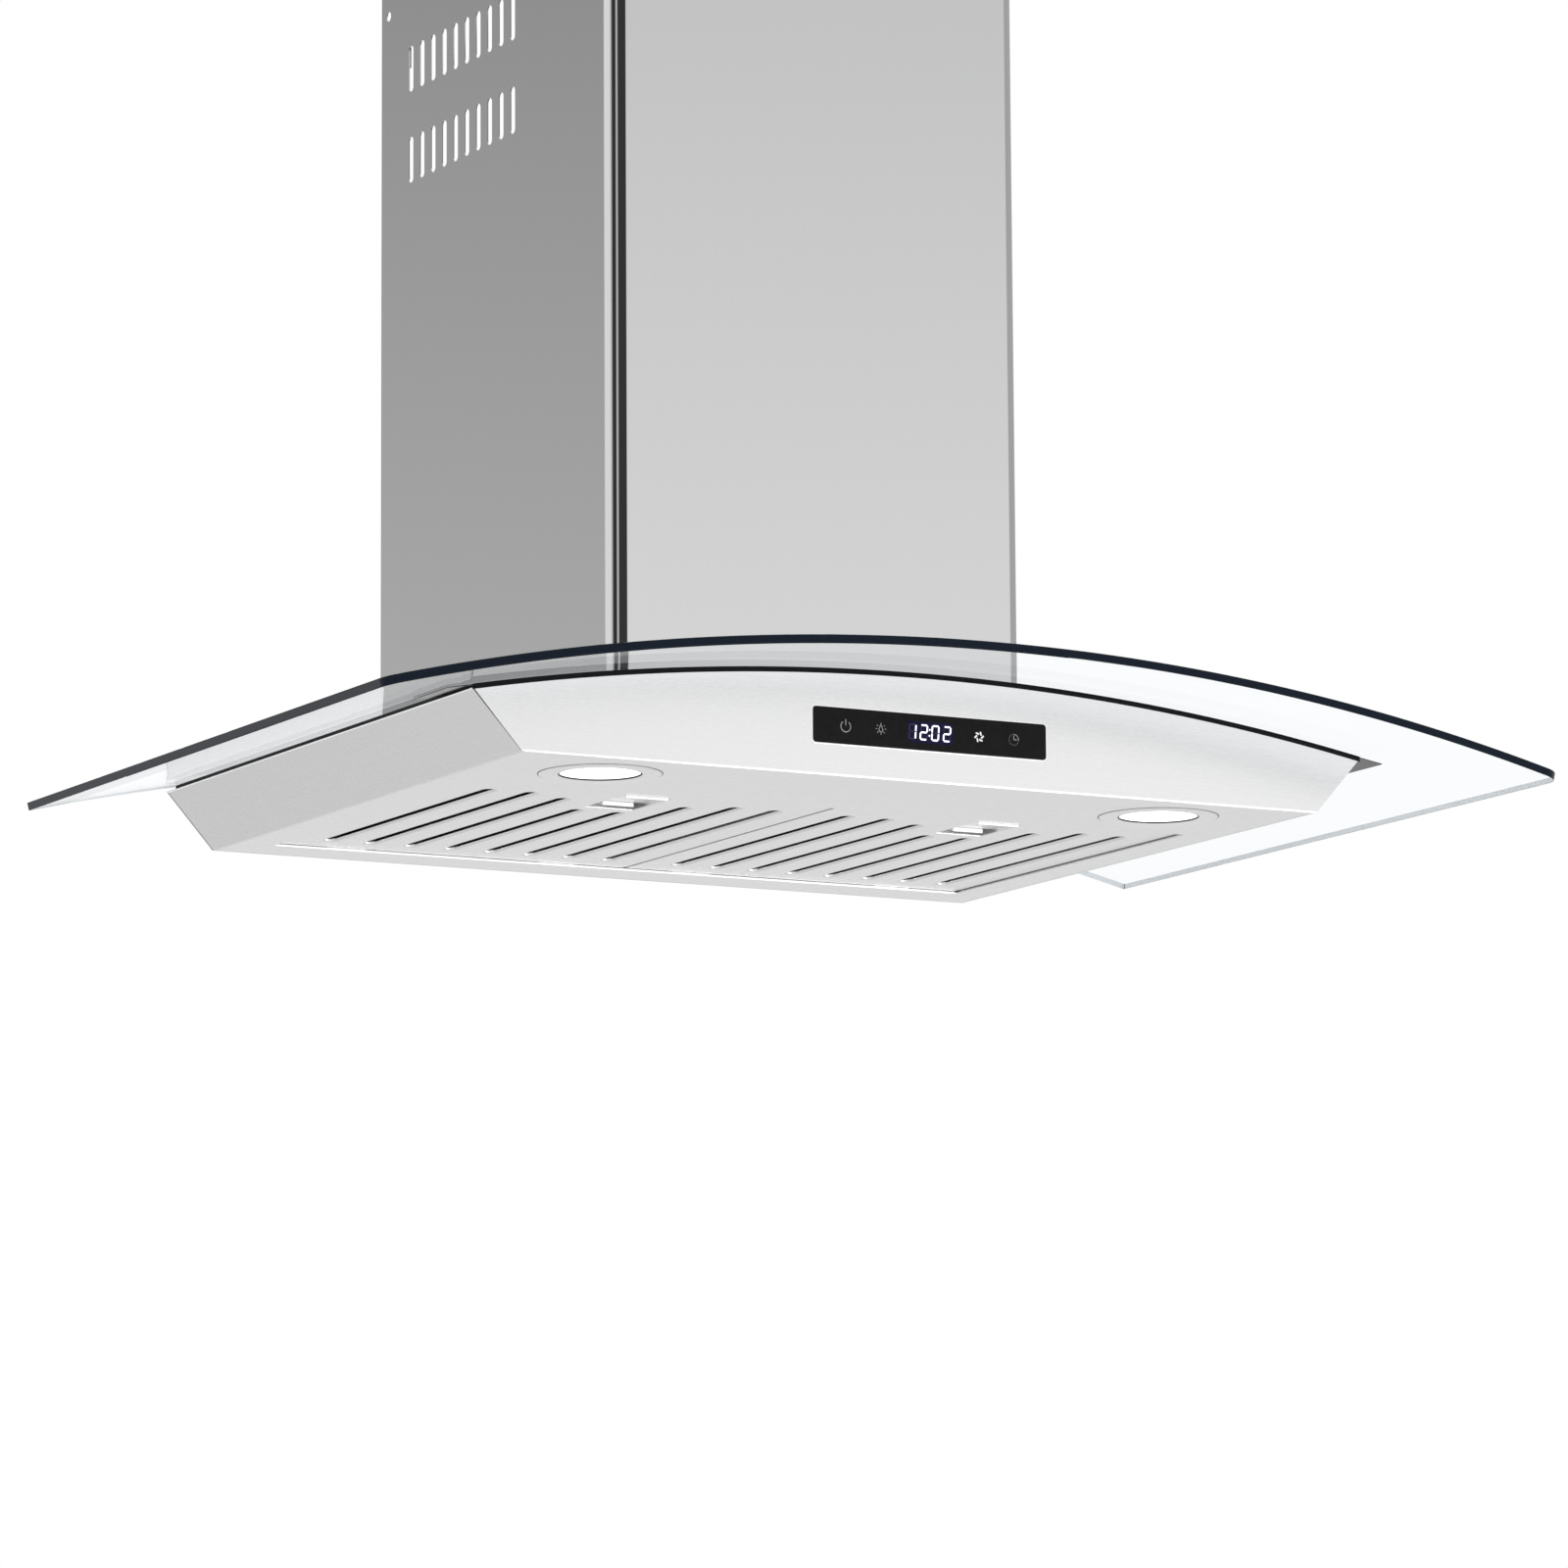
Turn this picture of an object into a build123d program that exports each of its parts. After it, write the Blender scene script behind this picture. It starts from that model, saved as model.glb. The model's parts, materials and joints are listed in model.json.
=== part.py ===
from build123d import *

import os
from math import cos, pi, radians, sin, sqrt, tan

# A wall-mounted kitchen hood with an arched glass canopy, in millimetres.
# While it is drawn, x = 0 is the middle, y = 0 the wall (the front is at -y) and z = 0 the hood's bottom.
# Each finished piece is then lowered by hang_height, so that the wall screws lie on the origin's level.

# Sheet metal and fits
sheet = 1.0  # stainless sheet
seam = 0.1  # between folded sheets that butt together
seat_gap = 0.3  # under pieces that rest on a curved face or on a moving piece
fit_gap = 0.05  # radial play of a shaft or pin in its hole
small_sides = 8  # flats of small screws and of the holes for them
round_sides = 24  # flats of the round work inside the blower box

# Glass canopy
glass_width = 750.0
glass_thickness = 5.0
glass_side_reach = 515.0  # wall to the front corners
glass_bow = 5.5  # what the front edge gains in the middle
glass_wall_gap = 22.0
glass_corner_radius = 9.0
notch_gap = 6.0  # round the blower box
arch_radius = 1535.0  # the glass's underside, seen from the front
arch_apex = 62.5  # hood bottom to the glass's underside in the middle

# Body
body_bottom_width = 514.0
side_lean = 42.0  # degrees from upright
body_reach = 438.5  # wall to the front panel's face
body_wall_gap = 23.0
edge_gap = 2.0  # the panels' top edges to the glass
trim_width = 4.0
trim_inset = 0.6
trim_back_gap = 14.0
corner_rest_thickness = 0.6
corner_rest_overhang = 15.5
corner_rest_length = 77.0
corner_rest_depth = 43.0
top_plate_drop = 5.5  # the glass's underside to the top plate
pan_flange = 8.0

# Wall rail
rail_sheet = 1.5
rail_width = 470.0
rail_bottom = 6.0
rail_height = 30.0
wall_hole_spacing = 400.0
wall_hole_radius = 4.0
access_window = 20.0  # lets a screwdriver reach the wall screws
rail_screw_spacing = (300.0, 180.0)
screw_radius = 2.0
screw_head_radius = 4.0
screw_head_sides = 6
screw_head_height = 2.4
screw_play = 0.25  # radial, in a clearance hole
hang_height = rail_bottom + rail_height / 2

# Grease filters
pan_side_strip = 24.75  # body's bottom edge to the filters' opening
pan_front_strip = 109.5  # front panel's face to the filters
filter_thickness = 10.0
filter_recess = 1.2  # hood bottom to the filter's face
filter_gap = 1.5
filter_back = 60.0  # wall to the filter's rear edge
filter_rim = 8.0  # width of the frame's upper flange
slot_count = 8
slot_pitch = 26.3
slot_width = 8.0
slot_length = 221.0
slot_corner = 2.4
slot_back = 20.0  # filter's rear edge to the slots
latch_slot_cut = 46.0  # how much the two middle slots stop short of the pull
latch_slot_trim = 12.0  # and the next two
baffle_width = 16.0
baffle_height = 3.2
baffle_lift = 4.8  # filter's face to the baffles
hook_width = 25.0
hook_spacing = 140.0
hook_reach = 10.0

# Filter latch
pull_width = 30.0
pull_length = 47.0
pull_front = 15.5  # filter's front edge to the pull
pull_depth = 6.0
pull_sheet = 0.8
bolt_width = 9.0
bolt_thickness = 1.5
bolt_reach = 7.0  # past the filter's front edge
latch_travel = 7.0
tab_width = 20.0
tab_place = 10.5  # pull's rear wall to the finger tab
tab_lip = 3.0
spring_length = 16.0
spring_folds = 4
spring_strip = 0.4

# Lamps
lamp_side_inset = 75.0  # body's bottom edge to a lamp's centre
lamp_front_inset = 53.5  # front panel's face to the lamps' centres
lamp_ring_radius = 35.0
lamp_ring_thickness = 0.6
lamp_lens_radius = 23.0
lamp_lens_thickness = 2.0
lamp_body_radius = 30.0
lamp_body_sides = 16
lamp_body_height = 20.0
lamp_clamp_size = (24.0, 16.0, 6.0)

# Touch control
control_width = 151.0
control_height = 20.5
control_centre = 28.3  # above the hood's bottom
control_thickness = 3.0
control_proud = 0.5
control_corner = 2.0
control_box_depth = 20.0
control_box_wall = 1.5
board_thickness = 1.6
display_width = 28.0
display_height = 10.0
key_pitch = 22.6
key_size = 9.0

# Chimney
chimney_width = 271.4
chimney_reach = 310.4
chimney_corner_radius = 9.5
chimney_top = 540.0  # above the hood's bottom
vent_drops = (109.0, 52.0)  # the cover's top to the middles of the two rows
vent_count = 10
vent_pitch = 15.53
vent_width = 5.0
vent_height = 28.6
vent_corner = 1.5
vent_first = 42.0  # wall to the first slot
fixing_hole_radius = 2.6
fixing_hole_wall_gap = 10.0
fixing_hole_drop = 12.0  # below the cover's top
extension_gap = 2.7  # between the two covers
extension_wall_gap = 3.0
extension_rest = 75.0  # the stop tabs' top, above the hood's bottom
extension_top_gap = 139.7  # the extension's top, below the cover's
stop_tab_length = 40.0
stop_tab_reach = 7.5
bracket_sheet = 1.4
bracket_height = 40.0
bracket_foot_height = 18.0
bracket_foot_width = 18.5
bracket_depth = 20.0
bracket_hole_radius = 2.5
bracket_hole_inset = 10.6
ear_hole_radius = 5.5  # room for the cover's clip nut

# Blower
box_side_gap = 11.0  # to the chimney extension
box_front_gap = 7.7
box_back = 30.0
box_top = 330.0
box_foot = 10.0
box_screw_places = ((-1, 90.0), (-1, 240.0), (1, 90.0), (1, 240.0))
axis_wall_gap = 184.0
axis_height = 185.0
scroll_side_gap = 40.0  # to the box's sides
scroll_sheet = 1.2
scroll_first_radius = 90.0  # at the cutoff edge
scroll_growth = 34.0  # from there to the outlet
scroll_steps = 18
cutoff_angle = 75.0
impeller_radius = 75.0
impeller_gap = 5.0  # to the scroll's sides
blade_depth = 15.0
blade_count = 24
blade_thickness = 1.2
blade_sweep = 12.0  # degrees from root to tip
blade_inset = 0.4  # the blades' ends inside the rings' edges
impeller_ring = 3.0
impeller_disc = 2.0
hub_radius = 14.0
hub_length = 26.0
shaft_radius = 5.0
inlet_radius = 60.5
inlet_wall = 2.0
inlet_flange_radius = 72.0
inlet_flare = 8.0
inlet_spigot = 2.5
motor_size = 78.0  # across the square stack's flats
motor_corner = 16.0
motor_length = 58.0
motor_boss_radius = 22.0
motor_end = 12.0  # the motor's free end, left of the middle
spider_thickness = 2.5
spider_arms = 3
spider_arm = 12.0

# Outlet collar and its two flaps
collar_radius = 75.0
collar_wall = 1.5
collar_height = 45.0
collar_flange = 4.0
flap_stop_reach = 3.0
flap_stop_width = 8.0
pin_height = 20.0  # the flaps' pin above the blower box
pin_radius = 1.5
flap_thickness = 1.0
flap_gap = 1.0
knuckle_half = 2.3
knuckle_length = 24.0

# Electrics on the blower box's inner walls
terminal_box_size = (24.0, 60.0, 60.0)
capacitor_radius = 13.0
capacitor_length = 55.0
electrics_front_gap = 2.0  # terminal box to the box's front
terminal_box_drop = 15.0  # below the box's lid
capacitor_drop = 20.0
gland_side_inset = 25.0
gland_front_inset = 28.0
gland_bore = 4.0
gland_radius = 10.0
gland_height = 22.0
gland_nut_radius = 13.0
gland_nut_height = 5.0

# Worked out from the above
lean = tan(radians(side_lean))
side_sheet = sheet / cos(radians(side_lean))  # a side's thickness, measured level
body_depth_in = body_reach - sheet
body_back_in = body_wall_gap + sheet
arch_centre = arch_apex - arch_radius
filter_width = body_bottom_width / 2 - pan_side_strip - filter_gap * 1.5
filter_depth = body_reach - pan_front_strip - filter_back
filter_front = filter_back + filter_depth
filter_top = filter_recess + filter_thickness
filter_offset = (filter_width + filter_gap) / 2
opening_half = filter_width + filter_gap * 1.5
opening_back = filter_back - filter_gap
opening_front = filter_front + filter_gap
bolt_bottom = pan_flange + seat_gap
bolt_top = bolt_bottom + bolt_thickness
pull_far = filter_front - pull_front
pull_near = pull_far - pull_length
collar_bore = collar_radius - collar_wall
lamp_spacing = body_bottom_width - 2 * lamp_side_inset
lamp_reach = body_reach - lamp_front_inset
lens_top = lamp_lens_thickness - lamp_ring_thickness / 2
extension_low = extension_rest + seat_gap
extension_inside = chimney_width - 2 * (2 * sheet + extension_gap)
box_width = extension_inside - 2 * box_side_gap
box_front = chimney_reach - 2 * sheet - extension_gap - box_front_gap
scroll_width = box_width - 2 * scroll_side_gap
impeller_width = scroll_width - 2 * impeller_gap
electrics_wall_gap = box_front - sheet - electrics_front_gap - terminal_box_size[1] / 2
gland_place = (box_width / 2 - gland_side_inset, gland_front_inset - box_front)


def top_corner_height():
    half = body_bottom_width / 2
    radius = arch_radius - edge_gap
    a = 1 + lean**2
    b = half * lean - arch_centre
    c = half**2 + arch_centre**2 - radius**2
    return (-b + sqrt(b * b - a * c)) / a


top_half = body_bottom_width / 2 + lean * top_corner_height()


# Solids from a front view (x, z), a plan (x, y) or a side view (y, z)
def front_slab(profile, near, far):
    return extrude(Plane.XZ.offset(near) * profile, far - near)


def plan_slab(profile, low, high):
    return extrude(Pos(0, 0, low) * profile, high - low)


def side_slab(profile, left, right):
    return extrude(Plane.YZ.offset(left) * profile, right - left)


def brick(x0, x1, near, far, low, high):
    return Pos((x0 + x1) / 2, -(near + far) / 2, (low + high) / 2) * Box(abs(x1 - x0), far - near, high - low)


def flats(radius, sides):
    return RegularPolygon(radius, sides, major_radius=False)


def cut_corners(width, height, corner):
    return chamfer(Rectangle(width, height).vertices(), corner)


def under_arch(offset):
    far = glass_side_reach + 2 * glass_bow
    return front_slab(Pos(0, arch_centre) * Circle(arch_radius + offset), -glass_wall_gap, far)


def arch_layer(plan, low, high):
    tall = plan_slab(plan, -arch_apex, 2 * arch_apex)
    return (tall & under_arch(high)) - under_arch(low)


def plan_rect(x0, x1, near, far):
    return Pos((x0 + x1) / 2, -(near + far) / 2) * Rectangle(abs(x1 - x0), far - near)


def mirrored(shape):
    return mirror(shape, about=Plane.YZ)


def place(node, shape):
    export_step(Pos(0, 0, -hang_height) * shape, "parts/" + node + ".step")


def group(solids):
    return Compound(children=[solid for shape in solids for solid in shape.solids()])


# Glass canopy with its trim and corner rests
def make_canopy():
    half = glass_width / 2
    corner = (half, -glass_side_reach)
    front = ThreePointArc((-half, -glass_side_reach), (0, -glass_side_reach - glass_bow), corner)
    rest = Polyline(corner, (half, -glass_wall_gap), (-half, -glass_wall_gap), (-half, -glass_side_reach))
    outline = make_face(front.edges() + rest.edges())
    outline = fillet(outline.vertices().sort_by(Axis.Y)[:2], glass_corner_radius)
    notch_half = box_width / 2 + notch_gap
    notch = plan_rect(-notch_half, notch_half, glass_wall_gap - notch_gap, box_front + notch_gap)
    notch = fillet(notch.vertices().sort_by(Axis.Y)[:2], notch_gap)
    return arch_layer(outline - notch, 0, glass_thickness)


def corner_rest_plan():
    outer = top_half + corner_rest_overhang
    return plan_rect(outer - corner_rest_length, outer, body_reach - corner_rest_depth, body_reach)


def make_corner_rests():
    high = -seat_gap
    one = arch_layer(corner_rest_plan(), high - corner_rest_thickness, high)
    return group([one, mirrored(one)])


def make_edge_trim():
    half = top_half - trim_inset
    back = body_wall_gap + trim_back_gap
    band = plan_rect(-half, half, back, body_reach - trim_inset)
    inner = half - trim_width
    band -= plan_rect(-inner, inner, back - 1, body_reach - trim_inset - trim_width)
    trim = arch_layer(band, seam - edge_gap, -seat_gap)
    under_rest = arch_layer(corner_rest_plan(), -seat_gap - corner_rest_thickness - seam, glass_thickness)
    return trim - under_rest - mirrored(under_rest)


# Body panels
def body_outline(inset):
    half = body_bottom_width / 2 - inset
    tall = 2 * arch_apex
    return make_face(Polyline((-half, 0), (half, 0), (half + lean * tall, tall), (-half - lean * tall, tall), close=True))


def body_slab(inset, near, far):
    return front_slab(body_outline(inset), near, far) & under_arch(-edge_gap)


def control_plan(grow, radius):
    frame = RectangleRounded(control_width + 2 * grow, control_height + 2 * grow, radius + grow)
    return Pos(0, control_centre) * frame


def make_front_panel():
    window = front_slab(control_plan(seat_gap, control_corner), body_depth_in - 1, body_reach + 1)
    return body_slab(0, body_depth_in, body_reach) - window


def make_side_panel():
    sides = body_slab(0, body_back_in, body_depth_in) - body_slab(side_sheet, 0, body_reach)
    return sides.solids().sort_by(Axis.X)[0]


def make_back_panel():
    panel = body_slab(0, body_wall_gap, body_back_in)
    return panel - access_windows() - rail_screw_holes()


def make_top_plate():
    half = top_half - side_sheet - trim_width
    plan = plan_rect(-half, half, body_back_in + seam, body_depth_in - seam)
    throat_half = box_width / 2 - sheet
    plan -= plan_rect(-throat_half, throat_half, box_back + sheet, box_front - sheet)
    plate = arch_layer(plan, -top_plate_drop - sheet, -top_plate_drop)
    return plate - box_screw_holes()


def make_bottom_pan():
    half = body_bottom_width / 2 - side_sheet - seam
    near = body_back_in + seam
    far = body_depth_in - seam
    pan = brick(-half, half, near, far, 0, sheet)
    pan += brick(-half, half, near, near + sheet, 0, pan_flange)
    pan += brick(-half, half, far - sheet, far, 0, pan_flange)
    rim = opening_half + sheet
    pan += brick(-rim, rim, opening_back, opening_front + sheet, 0, pan_flange)
    pan -= brick(-opening_half, opening_half, opening_back - 2, opening_front, sheet, 2 * pan_flange)
    pan -= brick(-opening_half, opening_half, opening_back, opening_front, -1, 2 * sheet)
    for side in (-1, 1):
        pan -= Pos(side * lamp_spacing / 2, -lamp_reach) * Cylinder(lamp_body_radius + seat_gap, 6 * sheet)
    return pan


# Wall rail, a channel that holds the body off the wall
def at_wall_holes(profile, near, far):
    holes = Sketch()
    for side in (-1, 1):
        holes += Pos(side * wall_hole_spacing / 2, hang_height) * profile
    return front_slab(holes, near, far)


def access_windows():
    return at_wall_holes(Rectangle(access_window, access_window), rail_sheet + 1, body_back_in + 1)


def rail_screw_rods(profile, near, far):
    rods = Sketch()
    for spacing in rail_screw_spacing:
        for side in (-1, 1):
            rods += Pos(side * spacing / 2, hang_height) * profile
    return front_slab(rods, near, far)


def rail_screw_holes():
    profile = flats(screw_radius + screw_play, small_sides)
    return rail_screw_rods(profile, body_wall_gap - rail_sheet - 1, body_back_in + 1)


def make_wall_rail():
    half = rail_width / 2
    high = rail_bottom + rail_height
    rail = brick(-half, half, 0, body_wall_gap, rail_bottom, high)
    rail -= brick(-half - 1, half + 1, rail_sheet, body_wall_gap - rail_sheet, rail_bottom - 1, high - rail_sheet)
    rail -= at_wall_holes(Circle(wall_hole_radius), -1, rail_sheet + 1)
    return rail - access_windows() - rail_screw_holes()


def make_rail_screws():
    under_head = body_back_in + seam
    shanks = rail_screw_rods(flats(screw_radius, small_sides), body_wall_gap - rail_sheet, under_head)
    head = flats(screw_head_radius, screw_head_sides)
    return group([shanks + rail_screw_rods(head, under_head, under_head + screw_head_height)])


# Grease filters: the left one is drawn about x = 0 and then moved
def filter_slots():
    slots = Sketch()
    for i in range(slot_count):
        from_middle = abs(2 * i - slot_count + 1)
        cut = {1: latch_slot_cut, 3: latch_slot_trim}.get(from_middle, 0)
        length = slot_length - cut
        x = (i - (slot_count - 1) / 2) * slot_pitch
        y = -(filter_back + slot_back + length / 2)
        slots += Pos(x, y) * cut_corners(slot_width, length, slot_corner)
    return slots


def pull_plan(grow):
    return plan_rect(-pull_width / 2 - grow, pull_width / 2 + grow, pull_near - grow, pull_far + grow)


def make_filter_frame():
    half = filter_width / 2
    frame = brick(-half, half, filter_back, filter_front, filter_recess, filter_top)
    inner = half - sheet
    frame -= brick(-inner, inner, filter_back + sheet, filter_front - sheet, 0, filter_top - sheet)
    rim = half - filter_rim
    frame -= brick(-rim, rim, filter_back + filter_rim, filter_front - filter_rim, 0, 2 * filter_top)
    for side in (-1, 1):
        x = side * hook_spacing / 2
        low = sheet + seat_gap
        frame += brick(x - hook_width / 2, x + hook_width / 2, filter_back - hook_reach, filter_back, low, low + sheet)
    window = bolt_width / 2 + seat_gap
    low = bolt_bottom - seat_gap
    return frame - brick(-window, window, filter_front - 2 * sheet, filter_front + 1, low, bolt_top + seat_gap)


def make_filter_face():
    inner = filter_width / 2 - sheet - seam
    near = filter_back + sheet + seam
    far = filter_front - sheet - seam
    high = filter_recess + sheet
    face = brick(-inner, inner, near, far, filter_recess, high)
    face -= plan_slab(filter_slots(), 0, filter_top)
    stop = pull_near - pull_sheet - spring_length - 2 * seat_gap
    face += brick(-bolt_width / 2, bolt_width / 2, stop - sheet, stop, high, bolt_top)
    return face - plan_slab(pull_plan(pull_sheet + seam), 0, high + 1)


def make_filter_baffles():
    low = filter_recess + baffle_lift
    baffles = []
    for i in range(slot_count):
        x = (i - (slot_count - 1) / 2) * slot_pitch
        near = filter_back + sheet + seam
        middle = abs(2 * i - slot_count + 1) == 1
        far = pull_near - 2 * pull_sheet if middle else filter_front - sheet - seam
        wide = baffle_width / 2
        baffle = brick(x - wide, x + wide, near, far, low, low + baffle_height)
        wide -= pull_sheet
        baffles.append(baffle - brick(x - wide, x + wide, near - 1, far + 1, low - 1, low + baffle_height - pull_sheet))
    return group(baffles)


def make_latch_pull():
    high = filter_recess + pull_depth + pull_sheet
    cup = plan_slab(pull_plan(pull_sheet), filter_recess, high)
    cup -= plan_slab(pull_plan(0), 0, high - pull_sheet)
    half = tab_width / 2 + seat_gap
    near = pull_near + tab_place - tab_lip - latch_travel
    return cup - brick(-half, half, near, pull_near + tab_place + seat_gap, 0, 2 * high)


def make_latch_bolt():
    half = bolt_width / 2
    rear = pull_near - pull_sheet
    bolt = brick(-half, half, rear, filter_front + bolt_reach, bolt_bottom, bolt_top)
    tab = pull_near + tab_place
    half = tab_width / 2
    low = filter_recess + sheet
    bolt += brick(-half, half, tab - bolt_thickness, tab, low, bolt_top)
    return bolt + brick(-half, half, tab - tab_lip, tab, low, low + sheet)


def make_latch_spring():
    start = -(pull_near - pull_sheet - seat_gap)
    inset = spring_strip
    step = (spring_length - 2 * inset) / spring_folds
    levels = (bolt_bottom - baffle_height, bolt_top - inset)
    points = [(start + inset + i * step, levels[i % 2]) for i in range(spring_folds + 1)]
    half = bolt_width / 2 - seat_gap
    return side_slab(trace(Polyline(*points), spring_strip), -half, half)


def filter_pieces():
    return {
        "frame": make_filter_frame(),
        "face": make_filter_face(),
        "baffles": make_filter_baffles(),
        "latch_pull": make_latch_pull(),
        "latch_bolt": make_latch_bolt(),
        "latch_spring": make_latch_spring(),
    }


# Lamps, drawn about the z axis and then moved to both sides
def at_lamps(shape):
    return group([Pos(side * lamp_spacing / 2, -lamp_reach) * shape for side in (-1, 1)])


def make_lamp_ring():
    flat = Circle(lamp_ring_radius) - Circle(lamp_lens_radius + seat_gap)
    return plan_slab(flat, -lamp_ring_thickness, 0)


def make_lamp_lens():
    return plan_slab(Circle(lamp_lens_radius), lens_top - lamp_lens_thickness, lens_top)


def make_lamp_body():
    can = plan_slab(RegularPolygon(lamp_body_radius, lamp_body_sides), 0, lamp_body_height)
    can -= plan_slab(flats(lamp_lens_radius + seat_gap, lamp_body_sides), -1, lens_top)
    wide, deep, tall = lamp_clamp_size
    return can + plan_slab(Rectangle(wide, deep), lamp_body_height, lamp_body_height + tall)


# Touch control behind the front panel
def make_control_glass():
    face = body_reach + control_proud
    return front_slab(control_plan(0, control_corner), face - control_thickness, face)


def make_control_box():
    far = body_depth_in - seam
    half = control_width / 2 + control_box_wall + 2 * seat_gap
    tall = control_height / 2 + control_box_wall + 2 * seat_gap
    box = brick(-half, half, far - control_box_depth, far, control_centre - tall, control_centre + tall)
    half -= control_box_wall
    tall -= control_box_wall
    low = control_centre - tall
    return box - brick(-half, half, far - control_box_depth + control_box_wall, far + 1, low, low + 2 * tall)


def make_control_board():
    behind = body_reach + control_proud - control_thickness
    near = body_depth_in - seam - control_box_depth + control_box_wall
    half = control_width / 2
    tall = control_height / 2
    board = brick(-half, half, near, near + board_thickness, control_centre - tall, control_centre + tall)
    show = Pos(0, control_centre) * Rectangle(display_width, display_height)
    for side in (-1, 1):
        for key in (1.4, 2.4):
            show += Pos(side * key * key_pitch, control_centre) * Rectangle(key_size, key_size)
    return board + front_slab(show, near, behind)


# Chimney covers and the brackets that hold the lower one to the wall
def cover_plan(half, reach, radius, wall_gap):
    outer = plan_rect(-half, half, wall_gap, reach)
    outer = fillet(outer.vertices().sort_by(Axis.Y)[:2], radius)
    inner = plan_rect(-half + sheet, half - sheet, wall_gap - 1, reach - sheet)
    inner = fillet(inner.vertices().sort_by(Axis.Y)[:2], radius - sheet)
    return outer - inner


def side_holes(profile):
    half = chimney_width / 2 + 1
    return side_slab(profile, -half, half)


def fixing_hole(radius, height):
    return side_holes(Pos(-fixing_hole_wall_gap, height) * flats(radius, small_sides))


def make_chimney_cover():
    half = chimney_width / 2
    plan = cover_plan(half, chimney_reach, chimney_corner_radius, 0)
    cover = plan_slab(plan, 0, chimney_top) - under_arch(glass_thickness + seat_gap)
    low = extension_rest - sheet
    inside = chimney_reach - sheet
    tab = stop_tab_length / 2
    cover += brick(-tab, tab, inside - stop_tab_reach, inside, low, extension_rest)
    middle = chimney_reach / 2
    for side in (-1, 1):
        wall = side * (half - sheet)
        cover += brick(wall - side * stop_tab_reach, wall, middle - tab, middle + tab, low, extension_rest)
    slots = Sketch()
    for drop in vent_drops:
        for i in range(vent_count):
            y = -(vent_first + i * vent_pitch)
            slots += Pos(y, chimney_top - drop) * cut_corners(vent_width, vent_height, vent_corner)
    cover -= side_holes(slots)
    return cover - fixing_hole(fixing_hole_radius, chimney_top - fixing_hole_drop)


def make_chimney_extension():
    half = chimney_width / 2 - sheet - extension_gap
    reach = chimney_reach - sheet - extension_gap
    plan = cover_plan(half, reach, chimney_corner_radius - extension_gap, extension_wall_gap)
    top = chimney_top - extension_top_gap
    cover = plan_slab(plan, extension_low, top)
    return cover - fixing_hole(fixing_hole_radius, top - fixing_hole_drop)


def make_chimney_brackets():
    outer = chimney_width / 2 - sheet - seam
    low = chimney_top - bracket_height - seam
    ear = brick(outer - bracket_sheet, outer, 0, bracket_depth, low, low + bracket_height)
    ear -= fixing_hole(ear_hole_radius, chimney_top - fixing_hole_drop)
    foot = brick(outer - bracket_foot_width, outer, 0, bracket_sheet, low, low + bracket_foot_height)
    hole = Pos(outer - bracket_hole_inset, low + bracket_foot_height / 2) * Circle(bracket_hole_radius)
    foot -= front_slab(hole, -1, bracket_sheet + 1)
    return group([ear + foot, mirrored(ear + foot)])


# Blower box with its scroll, impeller and motor
def box_screw_rods(profile, low, high):
    rods = Sketch()
    for side, wall_gap in box_screw_places:
        rods += Pos(side * (box_width + box_foot) / 2, -wall_gap) * profile
    return plan_slab(rods, low, high)


def box_screw_holes():
    return box_screw_rods(flats(screw_radius + screw_play, small_sides), 0, arch_apex)


def top_plate_level(x):
    return sqrt((arch_radius - top_plate_drop) ** 2 - x**2) + arch_centre


def make_box_screws():
    middle = (box_width + box_foot) / 2
    under_head = top_plate_level(middle - 1.2 * screw_head_radius) + sheet + 2 * seam
    low = top_plate_level(middle) - 2 * sheet
    shanks = box_screw_rods(flats(screw_radius, small_sides), low, under_head)
    head = flats(screw_head_radius, screw_head_sides)
    return group([shanks + box_screw_rods(head, under_head, under_head + screw_head_height)])


def make_blower_box():
    half = box_width / 2
    box = brick(-half, half, box_back, box_front, 0, box_top)
    box -= brick(-half + sheet, half - sheet, box_back + sheet, box_front - sheet, -1, box_top - sheet)
    box -= under_arch(seam - top_plate_drop)
    wide = half + box_foot
    foot = plan_rect(-wide, wide, box_back, box_front) - plan_rect(-half, half, box_back - 1, box_front + 1)
    box += arch_layer(foot, seam - top_plate_drop, seam + sheet - top_plate_drop)
    box -= Pos(0, -collar_wall_gap(), box_top) * Cylinder(collar_bore, 4 * sheet)
    gland_hole = flats(gland_radius, small_sides)
    box -= plan_slab(Pos(*gland_place) * gland_hole, box_top - 2 * sheet, box_top + sheet)
    return box - box_screw_holes()


def at_axis(profile):
    return Pos(-axis_wall_gap, axis_height) * profile


def scroll_point(step):
    share = step / scroll_steps
    angle = radians(cutoff_angle + share * (360 - cutoff_angle))
    radius = scroll_first_radius + share * scroll_growth
    return radius * cos(angle), radius * sin(angle)


def scroll_outline():
    spiral = [scroll_point(i) for i in range(scroll_steps + 1)]
    top = box_top - sheet - seam - axis_height
    outline = make_face(Polyline(*spiral, (spiral[-1][0], top), (spiral[0][0], top), close=True))
    return at_axis(outline)


def collar_wall_gap():
    return axis_wall_gap - (scroll_point(0)[0] + scroll_point(scroll_steps)[0]) / 2


def scroll_section(grow):
    below_lid = Pos(-axis_wall_gap, box_top - sheet - seam - box_top) * Rectangle(4 * box_width, 2 * box_top)
    return offset(scroll_outline(), grow, kind=Kind.INTERSECTION) & below_lid


def make_scroll_wrap():
    half = scroll_width / 2
    return side_slab(scroll_section(scroll_sheet) - scroll_outline(), -half, half)


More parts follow.
